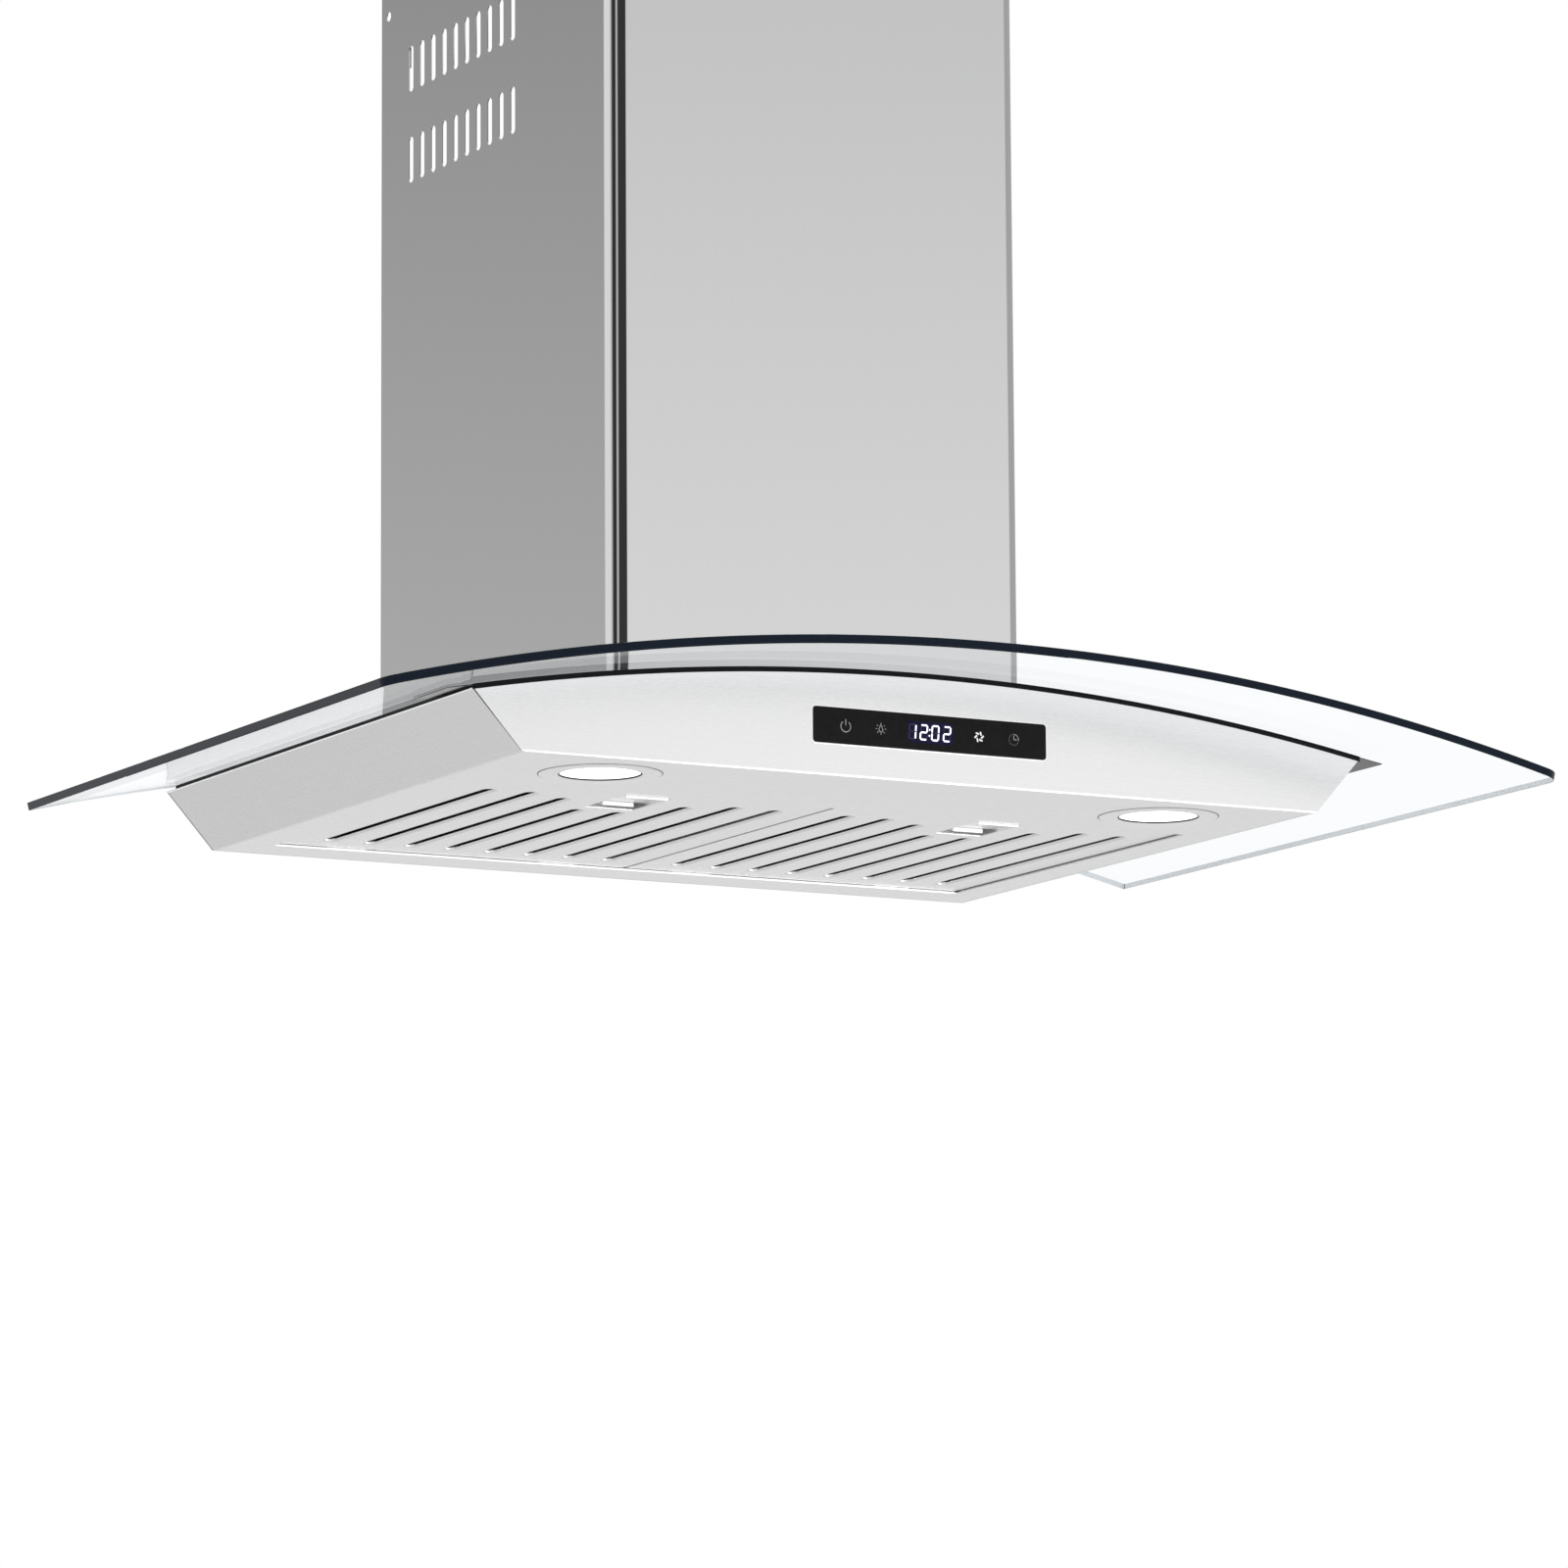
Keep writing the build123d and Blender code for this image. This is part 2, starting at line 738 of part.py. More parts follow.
def make_scroll_side():
    half = scroll_width / 2
    near = box_back + sheet + seam
    far = box_front - sheet - seam
    low = axis_height - scroll_first_radius - scroll_growth - scroll_sheet
    return brick(half, half + scroll_sheet, near, far, low, box_top - sheet - seam)


def make_inlet_side():
    hole = at_axis(flats(inlet_radius + inlet_wall + seam, round_sides))
    return mirrored(make_scroll_side()) - side_slab(hole, -scroll_width, 0)


def make_inlet_ring():
    face = -scroll_width / 2 - scroll_sheet
    inside = -scroll_width / 2 + inlet_spigot
    ring = side_slab(at_axis(flats(inlet_radius + inlet_wall, round_sides)), face, inside)
    ring += side_slab(at_axis(flats(inlet_flange_radius, round_sides)), face - inlet_flare, face)
    ring -= side_slab(at_axis(flats(inlet_radius, round_sides)), face - inlet_flare, inside)
    mouth = ring.faces().sort_by(Axis.X)[0].inner_wires()[0]
    return chamfer(mouth.edges(), inlet_flare - inlet_wall)


def blade_plan():
    tip = impeller_radius * cos(pi / blade_count) - blade_inset
    root = impeller_radius - blade_depth + blade_inset
    angle = radians(blade_sweep)
    middle = (root + tip) / 2
    hollow = [(root, 0), (middle * cos(angle / 4), middle * sin(angle / 4)), (tip * cos(angle), tip * sin(angle))]
    back = [(x, y - blade_thickness) for x, y in hollow]
    return make_face(Polyline(*hollow, *reversed(back), close=True))


def make_impeller():
    half = impeller_width / 2
    blades = Sketch()
    for i in range(blade_count):
        blades += Rot(0, 0, i * 360 / blade_count) * blade_plan()
    drum = extrude(Pos(0, 0, -half) * blades, impeller_width)
    rim = RegularPolygon(impeller_radius, blade_count)
    ring = rim - RegularPolygon(impeller_radius - blade_depth, blade_count)
    drum += plan_slab(ring, -half, -half + impeller_ring)
    drum += plan_slab(rim, half - impeller_disc, half)
    drum += plan_slab(flats(hub_radius, round_sides), half - hub_length, half)
    drum -= plan_slab(Circle(shaft_radius + fit_gap / 2), -half, half)
    return Pos(0, -axis_wall_gap, axis_height) * Rot(0, 90, 0) * drum


def motor_span():
    return -motor_end - motor_length, -motor_end


def make_motor():
    left, right = motor_span()
    outside = -(scroll_width / 2 + scroll_sheet + inlet_flare)
    motor = side_slab(at_axis(cut_corners(motor_size, motor_size, motor_corner)), left, right)
    motor += side_slab(at_axis(flats(motor_boss_radius, round_sides)), outside, left)
    return motor - side_slab(at_axis(Circle(shaft_radius + fit_gap)), left, right + 1)


def make_motor_shaft():
    return side_slab(at_axis(Circle(shaft_radius)), motor_span()[0] + seat_gap, impeller_width / 2)


def make_motor_spider():
    plan = flats(motor_boss_radius, round_sides)
    arm = Pos(inlet_flange_radius / 2, 0) * Rectangle(inlet_flange_radius, spider_arm)
    for i in range(spider_arms):
        plan += Rot(0, 0, 90 + i * 360 / spider_arms) * arm
    outside = -(scroll_width / 2 + scroll_sheet + inlet_flare)
    return side_slab(at_axis(plan), outside - spider_thickness, outside)


# Outlet collar: two half-round flaps close on two stops and share one pin along x
def at_collar(shape):
    return Pos(0, -collar_wall_gap(), box_top) * shape


def make_outlet_collar():
    collar = plan_slab(Circle(collar_radius) - Circle(collar_bore), 0, collar_height)
    side = 2 * (collar_radius + collar_flange)
    collar += plan_slab(Rectangle(side, side) - Circle(collar_bore), 0, collar_wall)
    stop_top = pin_height - flap_thickness / 2 - seat_gap
    reach = flap_stop_reach + collar_wall / 2
    stop = Box(reach, flap_stop_width, collar_wall, align=(Align.MAX, Align.CENTER, Align.MAX))
    for angle in (-90, 90):
        collar += Rot(0, 0, angle) * Pos(collar_bore + collar_wall / 2, 0, stop_top) * stop
    pin_hole = Pos(0, pin_height) * flats(pin_radius + fit_gap, small_sides)
    return at_collar(collar - side_slab(pin_hole, -side, side))


def make_flap_pin():
    pin = Pos(0, 0, pin_height) * Rot(0, 90, 0) * Cylinder(pin_radius, 2 * collar_radius - collar_wall)
    return at_collar(pin)


def make_flap(side):
    radius = collar_bore - flap_gap
    clear = knuckle_half * sqrt(2) + seat_gap
    half_disc = RegularPolygon(radius, round_sides) & (Pos(0, side * (radius / 2 + clear)) * Rectangle(2 * radius, radius))
    low = pin_height - flap_thickness / 2
    flap = plan_slab(half_disc, low, low + flap_thickness)
    pitch = knuckle_length + flap_gap
    for i in (-2, 0) if side < 0 else (-1, 1):
        left = i * pitch + flap_gap / 2
        root = Pos(left + knuckle_length / 2, side * clear / 2) * Rectangle(knuckle_length, clear)
        flap += plan_slab(root, low, low + flap_thickness)
        lug = Pos(0, pin_height) * Rectangle(2 * knuckle_half, 2 * knuckle_half)
        flap += side_slab(lug, left, left + knuckle_length)
    bore = Pos(0, pin_height) * flats(pin_radius + fit_gap, small_sides)
    return at_collar(flap - side_slab(bore, -radius, radius))


# Electrics
def make_terminal_box():
    wide, deep, tall = terminal_box_size
    wall = -box_width / 2 + sheet
    high = box_top - terminal_box_drop
    box = brick(wall, wall + wide, electrics_wall_gap - deep / 2, electrics_wall_gap + deep / 2, high - tall, high)
    return chamfer(box.edges().filter_by(Axis.X), 3 * sheet)


def make_capacitor():
    wall = box_width / 2 - sheet
    can = Pos(wall - capacitor_radius, -electrics_wall_gap) * RegularPolygon(capacitor_radius, round_sides)
    high = box_top - capacitor_drop
    return plan_slab(can, high - capacitor_length, high)


def make_cable_gland():
    nut = RegularPolygon(gland_nut_radius, 6)
    low = -gland_nut_height - sheet
    gland = plan_slab(nut, 0, gland_nut_height) + plan_slab(nut, low, -sheet)
    gland += plan_slab(flats(gland_radius - fit_gap, small_sides), low, gland_height)
    gland = chamfer(gland.edges().group_by(Axis.Z)[-1], gland_radius / 3)
    gland -= plan_slab(Circle(gland_bore), 2 * low, 2 * gland_height)
    return Pos(gland_place[0], gland_place[1], box_top) * gland


os.makedirs("parts", exist_ok=True)

place("glass_canopy", make_canopy())
place("glass_corner_rests", make_corner_rests())
place("edge_trim", make_edge_trim())

place("front_panel", make_front_panel())
place("side_panel_left", make_side_panel())
place("side_panel_right", mirrored(make_side_panel()))
place("back_panel", make_back_panel())
place("top_plate", make_top_plate())
place("bottom_pan", make_bottom_pan())
place("wall_rail", make_wall_rail())
place("rail_screws", make_rail_screws())

for side, x in (("left", -filter_offset), ("right", filter_offset)):
    for piece, shape in filter_pieces().items():
        place("filter_" + side + "_" + piece, Pos(x, 0, 0) * shape)

place("lamp_rings", at_lamps(make_lamp_ring()))
place("lamp_lenses", at_lamps(make_lamp_lens()))
place("lamp_bodies", at_lamps(make_lamp_body()))

place("control_glass", make_control_glass())
place("control_box", make_control_box())
place("control_board", make_control_board())

place("chimney_cover", make_chimney_cover())
place("chimney_extension", make_chimney_extension())
place("chimney_brackets", make_chimney_brackets())

place("blower_box", make_blower_box())
place("blower_box_screws", make_box_screws())
place("scroll_wrap", make_scroll_wrap())
place("scroll_side_left", make_inlet_side())
place("scroll_side_right", make_scroll_side())
place("inlet_ring", make_inlet_ring())
place("impeller", make_impeller())
place("motor", make_motor())
place("motor_shaft", make_motor_shaft())
place("motor_spider", make_motor_spider())

place("outlet_collar", make_outlet_collar())
place("flap_pin", make_flap_pin())
place("flap_front", make_flap(-1))
place("flap_back", make_flap(1))

place("terminal_box", make_terminal_box())
place("capacitor", make_capacitor())
place("cable_gland", make_cable_gland())
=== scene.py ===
import json
import math

import bpy
from mathutils import Matrix, Vector


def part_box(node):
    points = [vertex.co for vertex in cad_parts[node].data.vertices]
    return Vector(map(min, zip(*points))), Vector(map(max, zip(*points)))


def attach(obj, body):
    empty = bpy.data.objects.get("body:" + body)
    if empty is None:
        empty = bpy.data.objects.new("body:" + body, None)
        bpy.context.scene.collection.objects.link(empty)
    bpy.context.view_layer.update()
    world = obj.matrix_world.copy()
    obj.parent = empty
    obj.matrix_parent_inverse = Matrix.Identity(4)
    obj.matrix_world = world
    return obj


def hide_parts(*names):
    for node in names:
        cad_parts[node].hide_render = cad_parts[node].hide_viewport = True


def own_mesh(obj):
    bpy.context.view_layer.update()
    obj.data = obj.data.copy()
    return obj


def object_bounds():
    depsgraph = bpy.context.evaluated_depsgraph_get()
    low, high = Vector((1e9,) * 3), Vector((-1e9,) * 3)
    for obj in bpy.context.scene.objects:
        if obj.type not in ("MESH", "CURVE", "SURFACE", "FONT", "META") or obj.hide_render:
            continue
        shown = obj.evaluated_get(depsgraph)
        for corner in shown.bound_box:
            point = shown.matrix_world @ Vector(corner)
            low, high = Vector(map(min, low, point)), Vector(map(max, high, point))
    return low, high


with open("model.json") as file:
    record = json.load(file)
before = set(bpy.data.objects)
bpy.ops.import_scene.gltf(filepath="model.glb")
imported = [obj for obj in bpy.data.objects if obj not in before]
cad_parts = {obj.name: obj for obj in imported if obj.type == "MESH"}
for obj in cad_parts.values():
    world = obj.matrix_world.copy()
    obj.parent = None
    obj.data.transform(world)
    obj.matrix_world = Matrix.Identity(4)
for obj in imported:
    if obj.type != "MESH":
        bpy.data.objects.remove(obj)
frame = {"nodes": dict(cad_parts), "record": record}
cadLow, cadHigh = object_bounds()
mm = 0.001
mergeGap = 0.00001  # points nearer than this become one
flatAngle = 2  # degrees between faces that count as one plane
print("hood: frame loaded with", len(frame["nodes"]), "nodes")


# Small modelling tools
def clearSelection():
    if bpy.context.object and bpy.context.object.mode != "OBJECT":
        bpy.ops.object.mode_set(mode="OBJECT")
    bpy.ops.object.select_all(action="DESELECT")


def useOnly(piece):
    clearSelection()
    piece.select_set(True)
    bpy.context.view_layer.objects.active = piece


def settle(piece):  # place, turn and scale go into the mesh
    useOnly(piece)
    bpy.ops.object.transform_apply(location=True, rotation=True, scale=True)


def addBlock(name, low, high):
    clearSelection()
    low, high = Vector(low), Vector(high)
    bpy.ops.mesh.primitive_cube_add(size=1, location=(low + high) / 2)
    block = bpy.context.object
    block.name = name
    block.scale = high - low
    settle(block)
    return block


def addSheet(name, x0, x1, y0, y1, z):
    clearSelection()
    bpy.ops.mesh.primitive_plane_add(size=1, location=((x0 + x1) / 2, (y0 + y1) / 2, z))
    plate = bpy.context.object
    plate.name = name
    plate.scale = (x1 - x0, y1 - y0, 1)
    settle(plate)
    return plate


def pick(piece, kind, test):  # leaves the piece in edit mode with what passes the test selected
    useOnly(piece)
    bpy.ops.object.mode_set(mode="EDIT")
    bpy.ops.mesh.select_mode(type=kind)
    bpy.ops.mesh.select_all(action="DESELECT")
    bpy.ops.object.mode_set(mode="OBJECT")
    mesh = piece.data
    if kind == "FACE":
        for face in mesh.polygons:
            face.select = test(face)
    elif kind == "EDGE":
        for edge in mesh.edges:
            edge.select = test(*[mesh.vertices[i].co for i in edge.vertices])
    else:
        for vertex in mesh.vertices:
            vertex.select = test(vertex.co)
    bpy.ops.object.mode_set(mode="EDIT")


def leaveEdit():
    bpy.ops.object.mode_set(mode="OBJECT")


def bisectAt(piece, places, normal, clearOuter=False):
    useOnly(piece)
    bpy.ops.object.mode_set(mode="EDIT")
    for place in places:
        bpy.ops.mesh.select_all(action="SELECT")
        bpy.ops.mesh.bisect(plane_co=place, plane_no=normal, clear_outer=clearOuter)
    leaveEdit()


def movePoints(piece, formula):
    for vertex in piece.data.vertices:
        vertex.co = formula(vertex.co.copy())
    piece.data.update()


def modify(piece, kind, **settings):
    useOnly(piece)
    modifier = piece.modifiers.new("shaping", kind)
    for key, value in settings.items():
        setattr(modifier, key, value)
    bpy.ops.object.modifier_apply(modifier=modifier.name)


def soften(piece, width, segments=2, angle=35):
    limit = math.radians(angle)
    modify(piece, "BEVEL", width=width, segments=segments, limit_method="ANGLE", angle_limit=limit)


def cutAway(piece, cutter):
    modify(piece, "BOOLEAN", operation="DIFFERENCE", solver="EXACT", object=cutter)
    bpy.data.objects.remove(cutter)


def joinAll(name, parts):
    clearSelection()
    for part in parts:
        part.select_set(True)
    bpy.context.view_layer.objects.active = parts[0]
    if len(parts) > 1:
        bpy.ops.object.join()
    parts[0].name = name
    return parts[0]


def copyMoved(source, offset):
    twin = source.copy()
    twin.data = source.data.copy()
    bpy.context.collection.objects.link(twin)
    twin.data.transform(Matrix.Translation(offset))
    return twin


def outward(piece):
    useOnly(piece)
    bpy.ops.object.mode_set(mode="EDIT")
    bpy.ops.mesh.select_all(action="SELECT")
    bpy.ops.mesh.remove_doubles(threshold=mergeGap)
    bpy.ops.mesh.normals_make_consistent(inside=False)
    leaveEdit()


def smooth(piece, angle=30):
    useOnly(piece)
    bpy.ops.object.shade_smooth_by_angle(angle=math.radians(angle))


def finishPiece(piece, material, body, slot, *nodes, angle=30):
    settle(piece)
    smooth(piece, angle)
    modify(piece, "WEIGHTED_NORMAL", keep_sharp=True)
    piece.data.materials.clear()
    piece.data.materials.append(material)
    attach(piece, body)
    if nodes:
        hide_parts(*nodes)


# A node's own mesh, copied, merged and given soft folds
def softCopy(name, node, width, segments=2):
    source = frame["nodes"][node]
    copy = bpy.data.objects.new(name, source.data.copy())
    bpy.context.collection.objects.link(copy)
    useOnly(copy)
    bpy.ops.object.mode_set(mode="EDIT")
    bpy.ops.mesh.select_all(action="SELECT")
    bpy.ops.mesh.remove_doubles(threshold=2 * mergeGap)
    bpy.ops.mesh.dissolve_limited(angle_limit=math.radians(flatAngle))
    leaveEdit()
    soften(copy, width, segments)
    return copy


# Materials
noiseSpan = (0.3, 0.7)  # what a noise texture's values mostly fill
polishDepth = 0.000002  # bump on polished faces


def newMaterial(name):
    material = bpy.data.materials.new(name)
    material.use_nodes = True
    nodes = material.node_tree.nodes
    return material, nodes, material.node_tree.links, nodes["Principled BSDF"]


def objectNoise(nodes, links, scale, stretch=(1, 1, 1), detail=4.0):
    place = nodes.new("ShaderNodeTexCoord")
    mapping = nodes.new("ShaderNodeMapping")
    mapping.inputs["Scale"].default_value = stretch
    noise = nodes.new("ShaderNodeTexNoise")
    noise.inputs["Scale"].default_value = scale
    noise.inputs["Detail"].default_value = detail
    links.new(place.outputs["Object"], mapping.inputs["Vector"])
    links.new(mapping.outputs["Vector"], noise.inputs["Vector"])
    return noise.outputs["Fac"]


def spread(nodes, links, value, low, high):
    ranged = nodes.new("ShaderNodeMapRange")
    ends = (("From Min", noiseSpan[0]), ("From Max", noiseSpan[1]), ("To Min", low), ("To Max", high))
    for socket, end in ends:
        ranged.inputs[socket].default_value = end
    links.new(value, ranged.inputs["Value"])
    return ranged.outputs["Result"]


def shadeOf(nodes, links, value, dark, light):
    ramp = nodes.new("ShaderNodeValToRGB")
    for stop, position, colour in zip(ramp.color_ramp.elements, noiseSpan, (dark, light)):
        stop.position = position
        stop.color = (*colour, 1)
    links.new(value, ramp.inputs["Fac"])
    return ramp.outputs["Color"]


def bumpFrom(nodes, links, value, strength, distance):
    bump = nodes.new("ShaderNodeBump")
    bump.inputs["Strength"].default_value = strength
    bump.inputs["Distance"].default_value = distance
    links.new(value, bump.inputs["Height"])
    return bump.outputs["Normal"]


def brushedSteel(name, grey, roughness, stretch, contrast=0.01, depth=0.00001):
    material, nodes, links, shader = newMaterial(name)
    grain = objectNoise(nodes, links, 1.0, stretch)
    coolCast = (1, 1, 1.003)
    dark = [grey * (1 - contrast) * cast for cast in coolCast]
    light = [grey * (1 + contrast) * cast for cast in coolCast]
    links.new(shadeOf(nodes, links, grain, dark, light), shader.inputs["Base Color"])
    smoother, rougher = roughness * 0.94, roughness * 1.06
    links.new(spread(nodes, links, grain, smoother, rougher), shader.inputs["Roughness"])
    links.new(bumpFrom(nodes, links, grain, strength=0.06, distance=depth), shader.inputs["Normal"])
    shader.inputs["Metallic"].default_value = 1.0
    return material


def mottled(name, dark, light, roughness, scale, metallic=0.0, depth=0.00003, gloss=0.5):
    material, nodes, links, shader = newMaterial(name)
    shader.inputs["Specular IOR Level"].default_value = gloss
    noise = objectNoise(nodes, links, scale)
    links.new(shadeOf(nodes, links, noise, dark, light), shader.inputs["Base Color"])
    smoother, rougher = roughness * 0.85, roughness * 1.15
    links.new(spread(nodes, links, noise, smoother, rougher), shader.inputs["Roughness"])
    links.new(bumpFrom(nodes, links, noise, strength=0.3, distance=depth), shader.inputs["Normal"])
    shader.inputs["Metallic"].default_value = metallic
    return material


def spangledZinc(name):
    material, nodes, links, shader = newMaterial(name)
    place = nodes.new("ShaderNodeTexCoord")
    crystals = nodes.new("ShaderNodeTexVoronoi")
    crystals.inputs["Scale"].default_value = 110
    links.new(place.outputs["Object"], crystals.inputs["Vector"])
    split = nodes.new("ShaderNodeSeparateColor")
    links.new(crystals.outputs["Color"], split.inputs["Color"])
    tone = split.outputs["Red"]
    colour = shadeOf(nodes, links, tone, (0.30, 0.31, 0.32), (0.42, 0.43, 0.44))
    links.new(colour, shader.inputs["Base Color"])
    links.new(spread(nodes, links, tone, 0.32, 0.48), shader.inputs["Roughness"])
    shader.inputs["Metallic"].default_value = 1.0
    return material


def glowing(name, colour, strength, roughness=0.4):
    material, nodes, links, shader = newMaterial(name)
    noise = objectNoise(nodes, links, 900)
    faint = [c * 0.96 for c in colour]
    links.new(shadeOf(nodes, links, noise, faint, colour), shader.inputs["Base Color"])
    shader.inputs["Roughness"].default_value = roughness
    shader.inputs["Emission Color"].default_value = (*colour, 1)
    shader.inputs["Emission Strength"].default_value = strength
    return material


def clearGlass(name):
    material, nodes, links, shader = newMaterial(name)
    haze = objectNoise(nodes, links, 6)
    tint = shadeOf(nodes, links, haze, (0.964, 0.983, 0.999), (0.970, 0.987, 1.0))
    links.new(tint, shader.inputs["Base Color"])
    shader.inputs["Roughness"].default_value = 0.0
    shader.inputs["IOR"].default_value = 1.028
    shader.inputs["Specular Tint"].default_value = (0.90, 0.95, 1.0, 1)
    shader.inputs["Transmission Weight"].default_value = 1.0
    return material


# A near-black glass edge: painted shade
def paintedShadeRim(name):
    material, nodes, links, shader = newMaterial(name)
    grind = objectNoise(nodes, links, 500)
    colour = shadeOf(nodes, links, grind, (0.001, 0.002, 0.005), (0.002, 0.004, 0.008))
    links.new(colour, shader.inputs["Base Color"])
    links.new(spread(nodes, links, grind, 0.10, 0.22), shader.inputs["Roughness"])
    shader.inputs["Specular IOR Level"].default_value = 0.2
    shader.inputs["Specular Tint"].default_value = (0.62, 0.77, 1.0, 1)
    return material


grainFine = 2600
grainLong = 5
bodySteel = brushedSteel("bodySteel", 0.86, 0.28, (grainLong, grainFine, grainFine))
# The side panels' steel is a darker copy of the body's steel: painted shade
shadedSideSteel = brushedSteel("shadedSideSteel", 0.74, 0.28, (grainFine, grainLong, grainFine), contrast=0.006)
panSteel = brushedSteel("panSteel", 0.71, 0.28, (grainLong, grainFine, grainFine))
chimneySteel = brushedSteel("chimneySteel", 0.66, 0.10, (grainFine, grainFine, grainLong))
# A near-black steel for stripes on the chimney's left bend: painted reflection
paintedReflectionSteel = brushedSteel("paintedReflectionSteel", 0.055, 0.12, (grainFine, grainFine, grainLong))
filterSteel = brushedSteel("filterSteel", 0.71, 0.28, (grainFine, grainLong, grainFine))
# A lighter copy of the filter steel for the latch bolt: painted light
paintedLightBoltSteel = brushedSteel("paintedLightBoltSteel", 0.88, 0.32, (grainFine, grainLong, grainFine))
# The baffles' near-black steel is painted shade inside the filters
paintedShadeBaffleSteel = brushedSteel("paintedShadeBaffleSteel", 0.16, 0.40, (grainFine, grainLong, grainFine))
darkSteel = brushedSteel("fastenerSteel", 0.50, 0.35, (300, 300, 300))
zinc = spangledZinc("zincSheet")
canopyGlass = clearGlass("canopyGlass")
shadedGlassRim = paintedShadeRim("shadedGlassRim")
# A pale copy of the glass edge: painted light
litGlassRim = mottled("litGlassRim", (0.82, 0.86, 0.88), (0.86, 0.90, 0.92), 0.3, 500, depth=polishDepth)
brightSteel = brushedSteel("brightSteel", 0.98, 0.20, (grainFine, grainFine, grainFine), contrast=0.005)
# Near-white edge strips: painted highlight on rolled edges, the pull lip and the finger tab
paintedHighlightEdge = mottled("paintedHighlightEdge", (0.90, 0.90, 0.90), (0.95, 0.95, 0.95), 0.5, 900, metallic=0.1)
glossBlack = mottled("glossBlack", [0.004] * 3, [0.006] * 3, 0.12, 300, depth=polishDepth)
blackRubber = mottled("blackRubber", (0.003, 0.003, 0.004), (0.006, 0.006, 0.007), 0.55, 700, gloss=0.1)
touchGlass = mottled("touchGlass", [0.007] * 3, [0.009] * 3, 0.12, 300, depth=polishDepth, gloss=0.06)
displayBlue = mottled("displayBlue", (0.004, 0.003, 0.018), (0.008, 0.006, 0.034), 0.15, 400,
                      depth=polishDepth, gloss=0.1)
dimSegment = mottled("dimSegment", (0.020, 0.020, 0.045), (0.026, 0.026, 0.055), 0.2, 500, gloss=0.1)
fanInk = mottled("fanInk", (0.72, 0.72, 0.74), (0.78, 0.78, 0.80), 0.5, 900)
keyInk = mottled("keyInk", (0.30, 0.30, 0.30), (0.36, 0.36, 0.36), 0.5, 900)
litSegment = glowing("litSegment", (0.86, 0.88, 1.0), 0.95)
lampCast = mottled("lampCasting", (0.36, 0.36, 0.37), (0.44, 0.44, 0.45), 0.5, 400, metallic=0.8)
lampLight = glowing("lampDiffuser", (1.0, 1.0, 1.0), 1.2)
blackPlastic = mottled("blackPlastic", (0.016, 0.016, 0.017), (0.026, 0.026, 0.028), 0.42, 900)
greyPlastic = mottled("greyPlastic", (0.22, 0.23, 0.24), (0.27, 0.28, 0.29), 0.45, 900)
motorPaint = mottled("motorPaint", (0.05, 0.055, 0.06), (0.075, 0.08, 0.085), 0.38, 260)
boardGreen = mottled("boardGreen", (0.012, 0.085, 0.035), (0.02, 0.12, 0.05), 0.35, 500)
capacitorWhite = mottled("capacitorWhite", (0.70, 0.70, 0.68), (0.78, 0.78, 0.76), 0.4, 600)
print("hood: materials ready")

# The finish of each node that keeps its CAD mesh
slotFinish = {
    "brushed_stainless": bodySteel,
    "galvanised_sheet": zinc,
    "canopy_glass": canopyGlass,
    "black_trim": blackRubber,
    "control_glass": touchGlass,
    "lamp_chrome": bodySteel,
    "lamp_lens": lampLight,
    "lamp_casting": lampCast,
    "black_plastic": blackPlastic,
    "grey_plastic": greyPlastic,
    "motor_paint": motorPaint,
    "steel": darkSteel,
    "board_green": boardGreen,
    "capacitor_white": capacitorWhite,
}
for subpart in frame["record"]["subparts"]:
    for held in frame["nodes"][subpart["node"]].material_slots:
        held.material = slotFinish[subpart["material_slot"]]
# The baffles inside the filters take the near-black steel as painted shade
for nodeName in frame["nodes"]:
    if nodeName.endswith("_baffles"):
        frame["nodes"][nodeName].material_slots[0].material = paintedShadeBaffleSteel
frame["nodes"]["chimney_extension"].material_slots[0].material = chimneySteel
print("hood: node finishes set")

# Glass canopy
canopy = {
    "radius": 1535 * mm,  # of the underside's arch
    "thickness": 5 * mm,
    "strips": 72,
    "bow": 5.5 * mm,
    "corner": 9 * mm,
    "cornerSteps": 10,
    "rimBevel": 0.7 * mm,
    "rimUpright": 0.8,  # faces whose normal stands more upright belong to the sheet, not the rim
    "litRimNormals": (0.9, 0.5),  # to the right and to the back, where the rim takes the pale painted light copy
    "notchHalf": 126 * mm,
    "notchFront": -304 * mm,
}
glassLow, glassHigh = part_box("glass_canopy")
archApex = glassHigh.z - canopy["thickness"]


def archHeight(x, lift=0.0):
    reach = canopy["radius"] + lift
    return math.sqrt(reach**2 - x**2) + archApex - canopy["radius"]


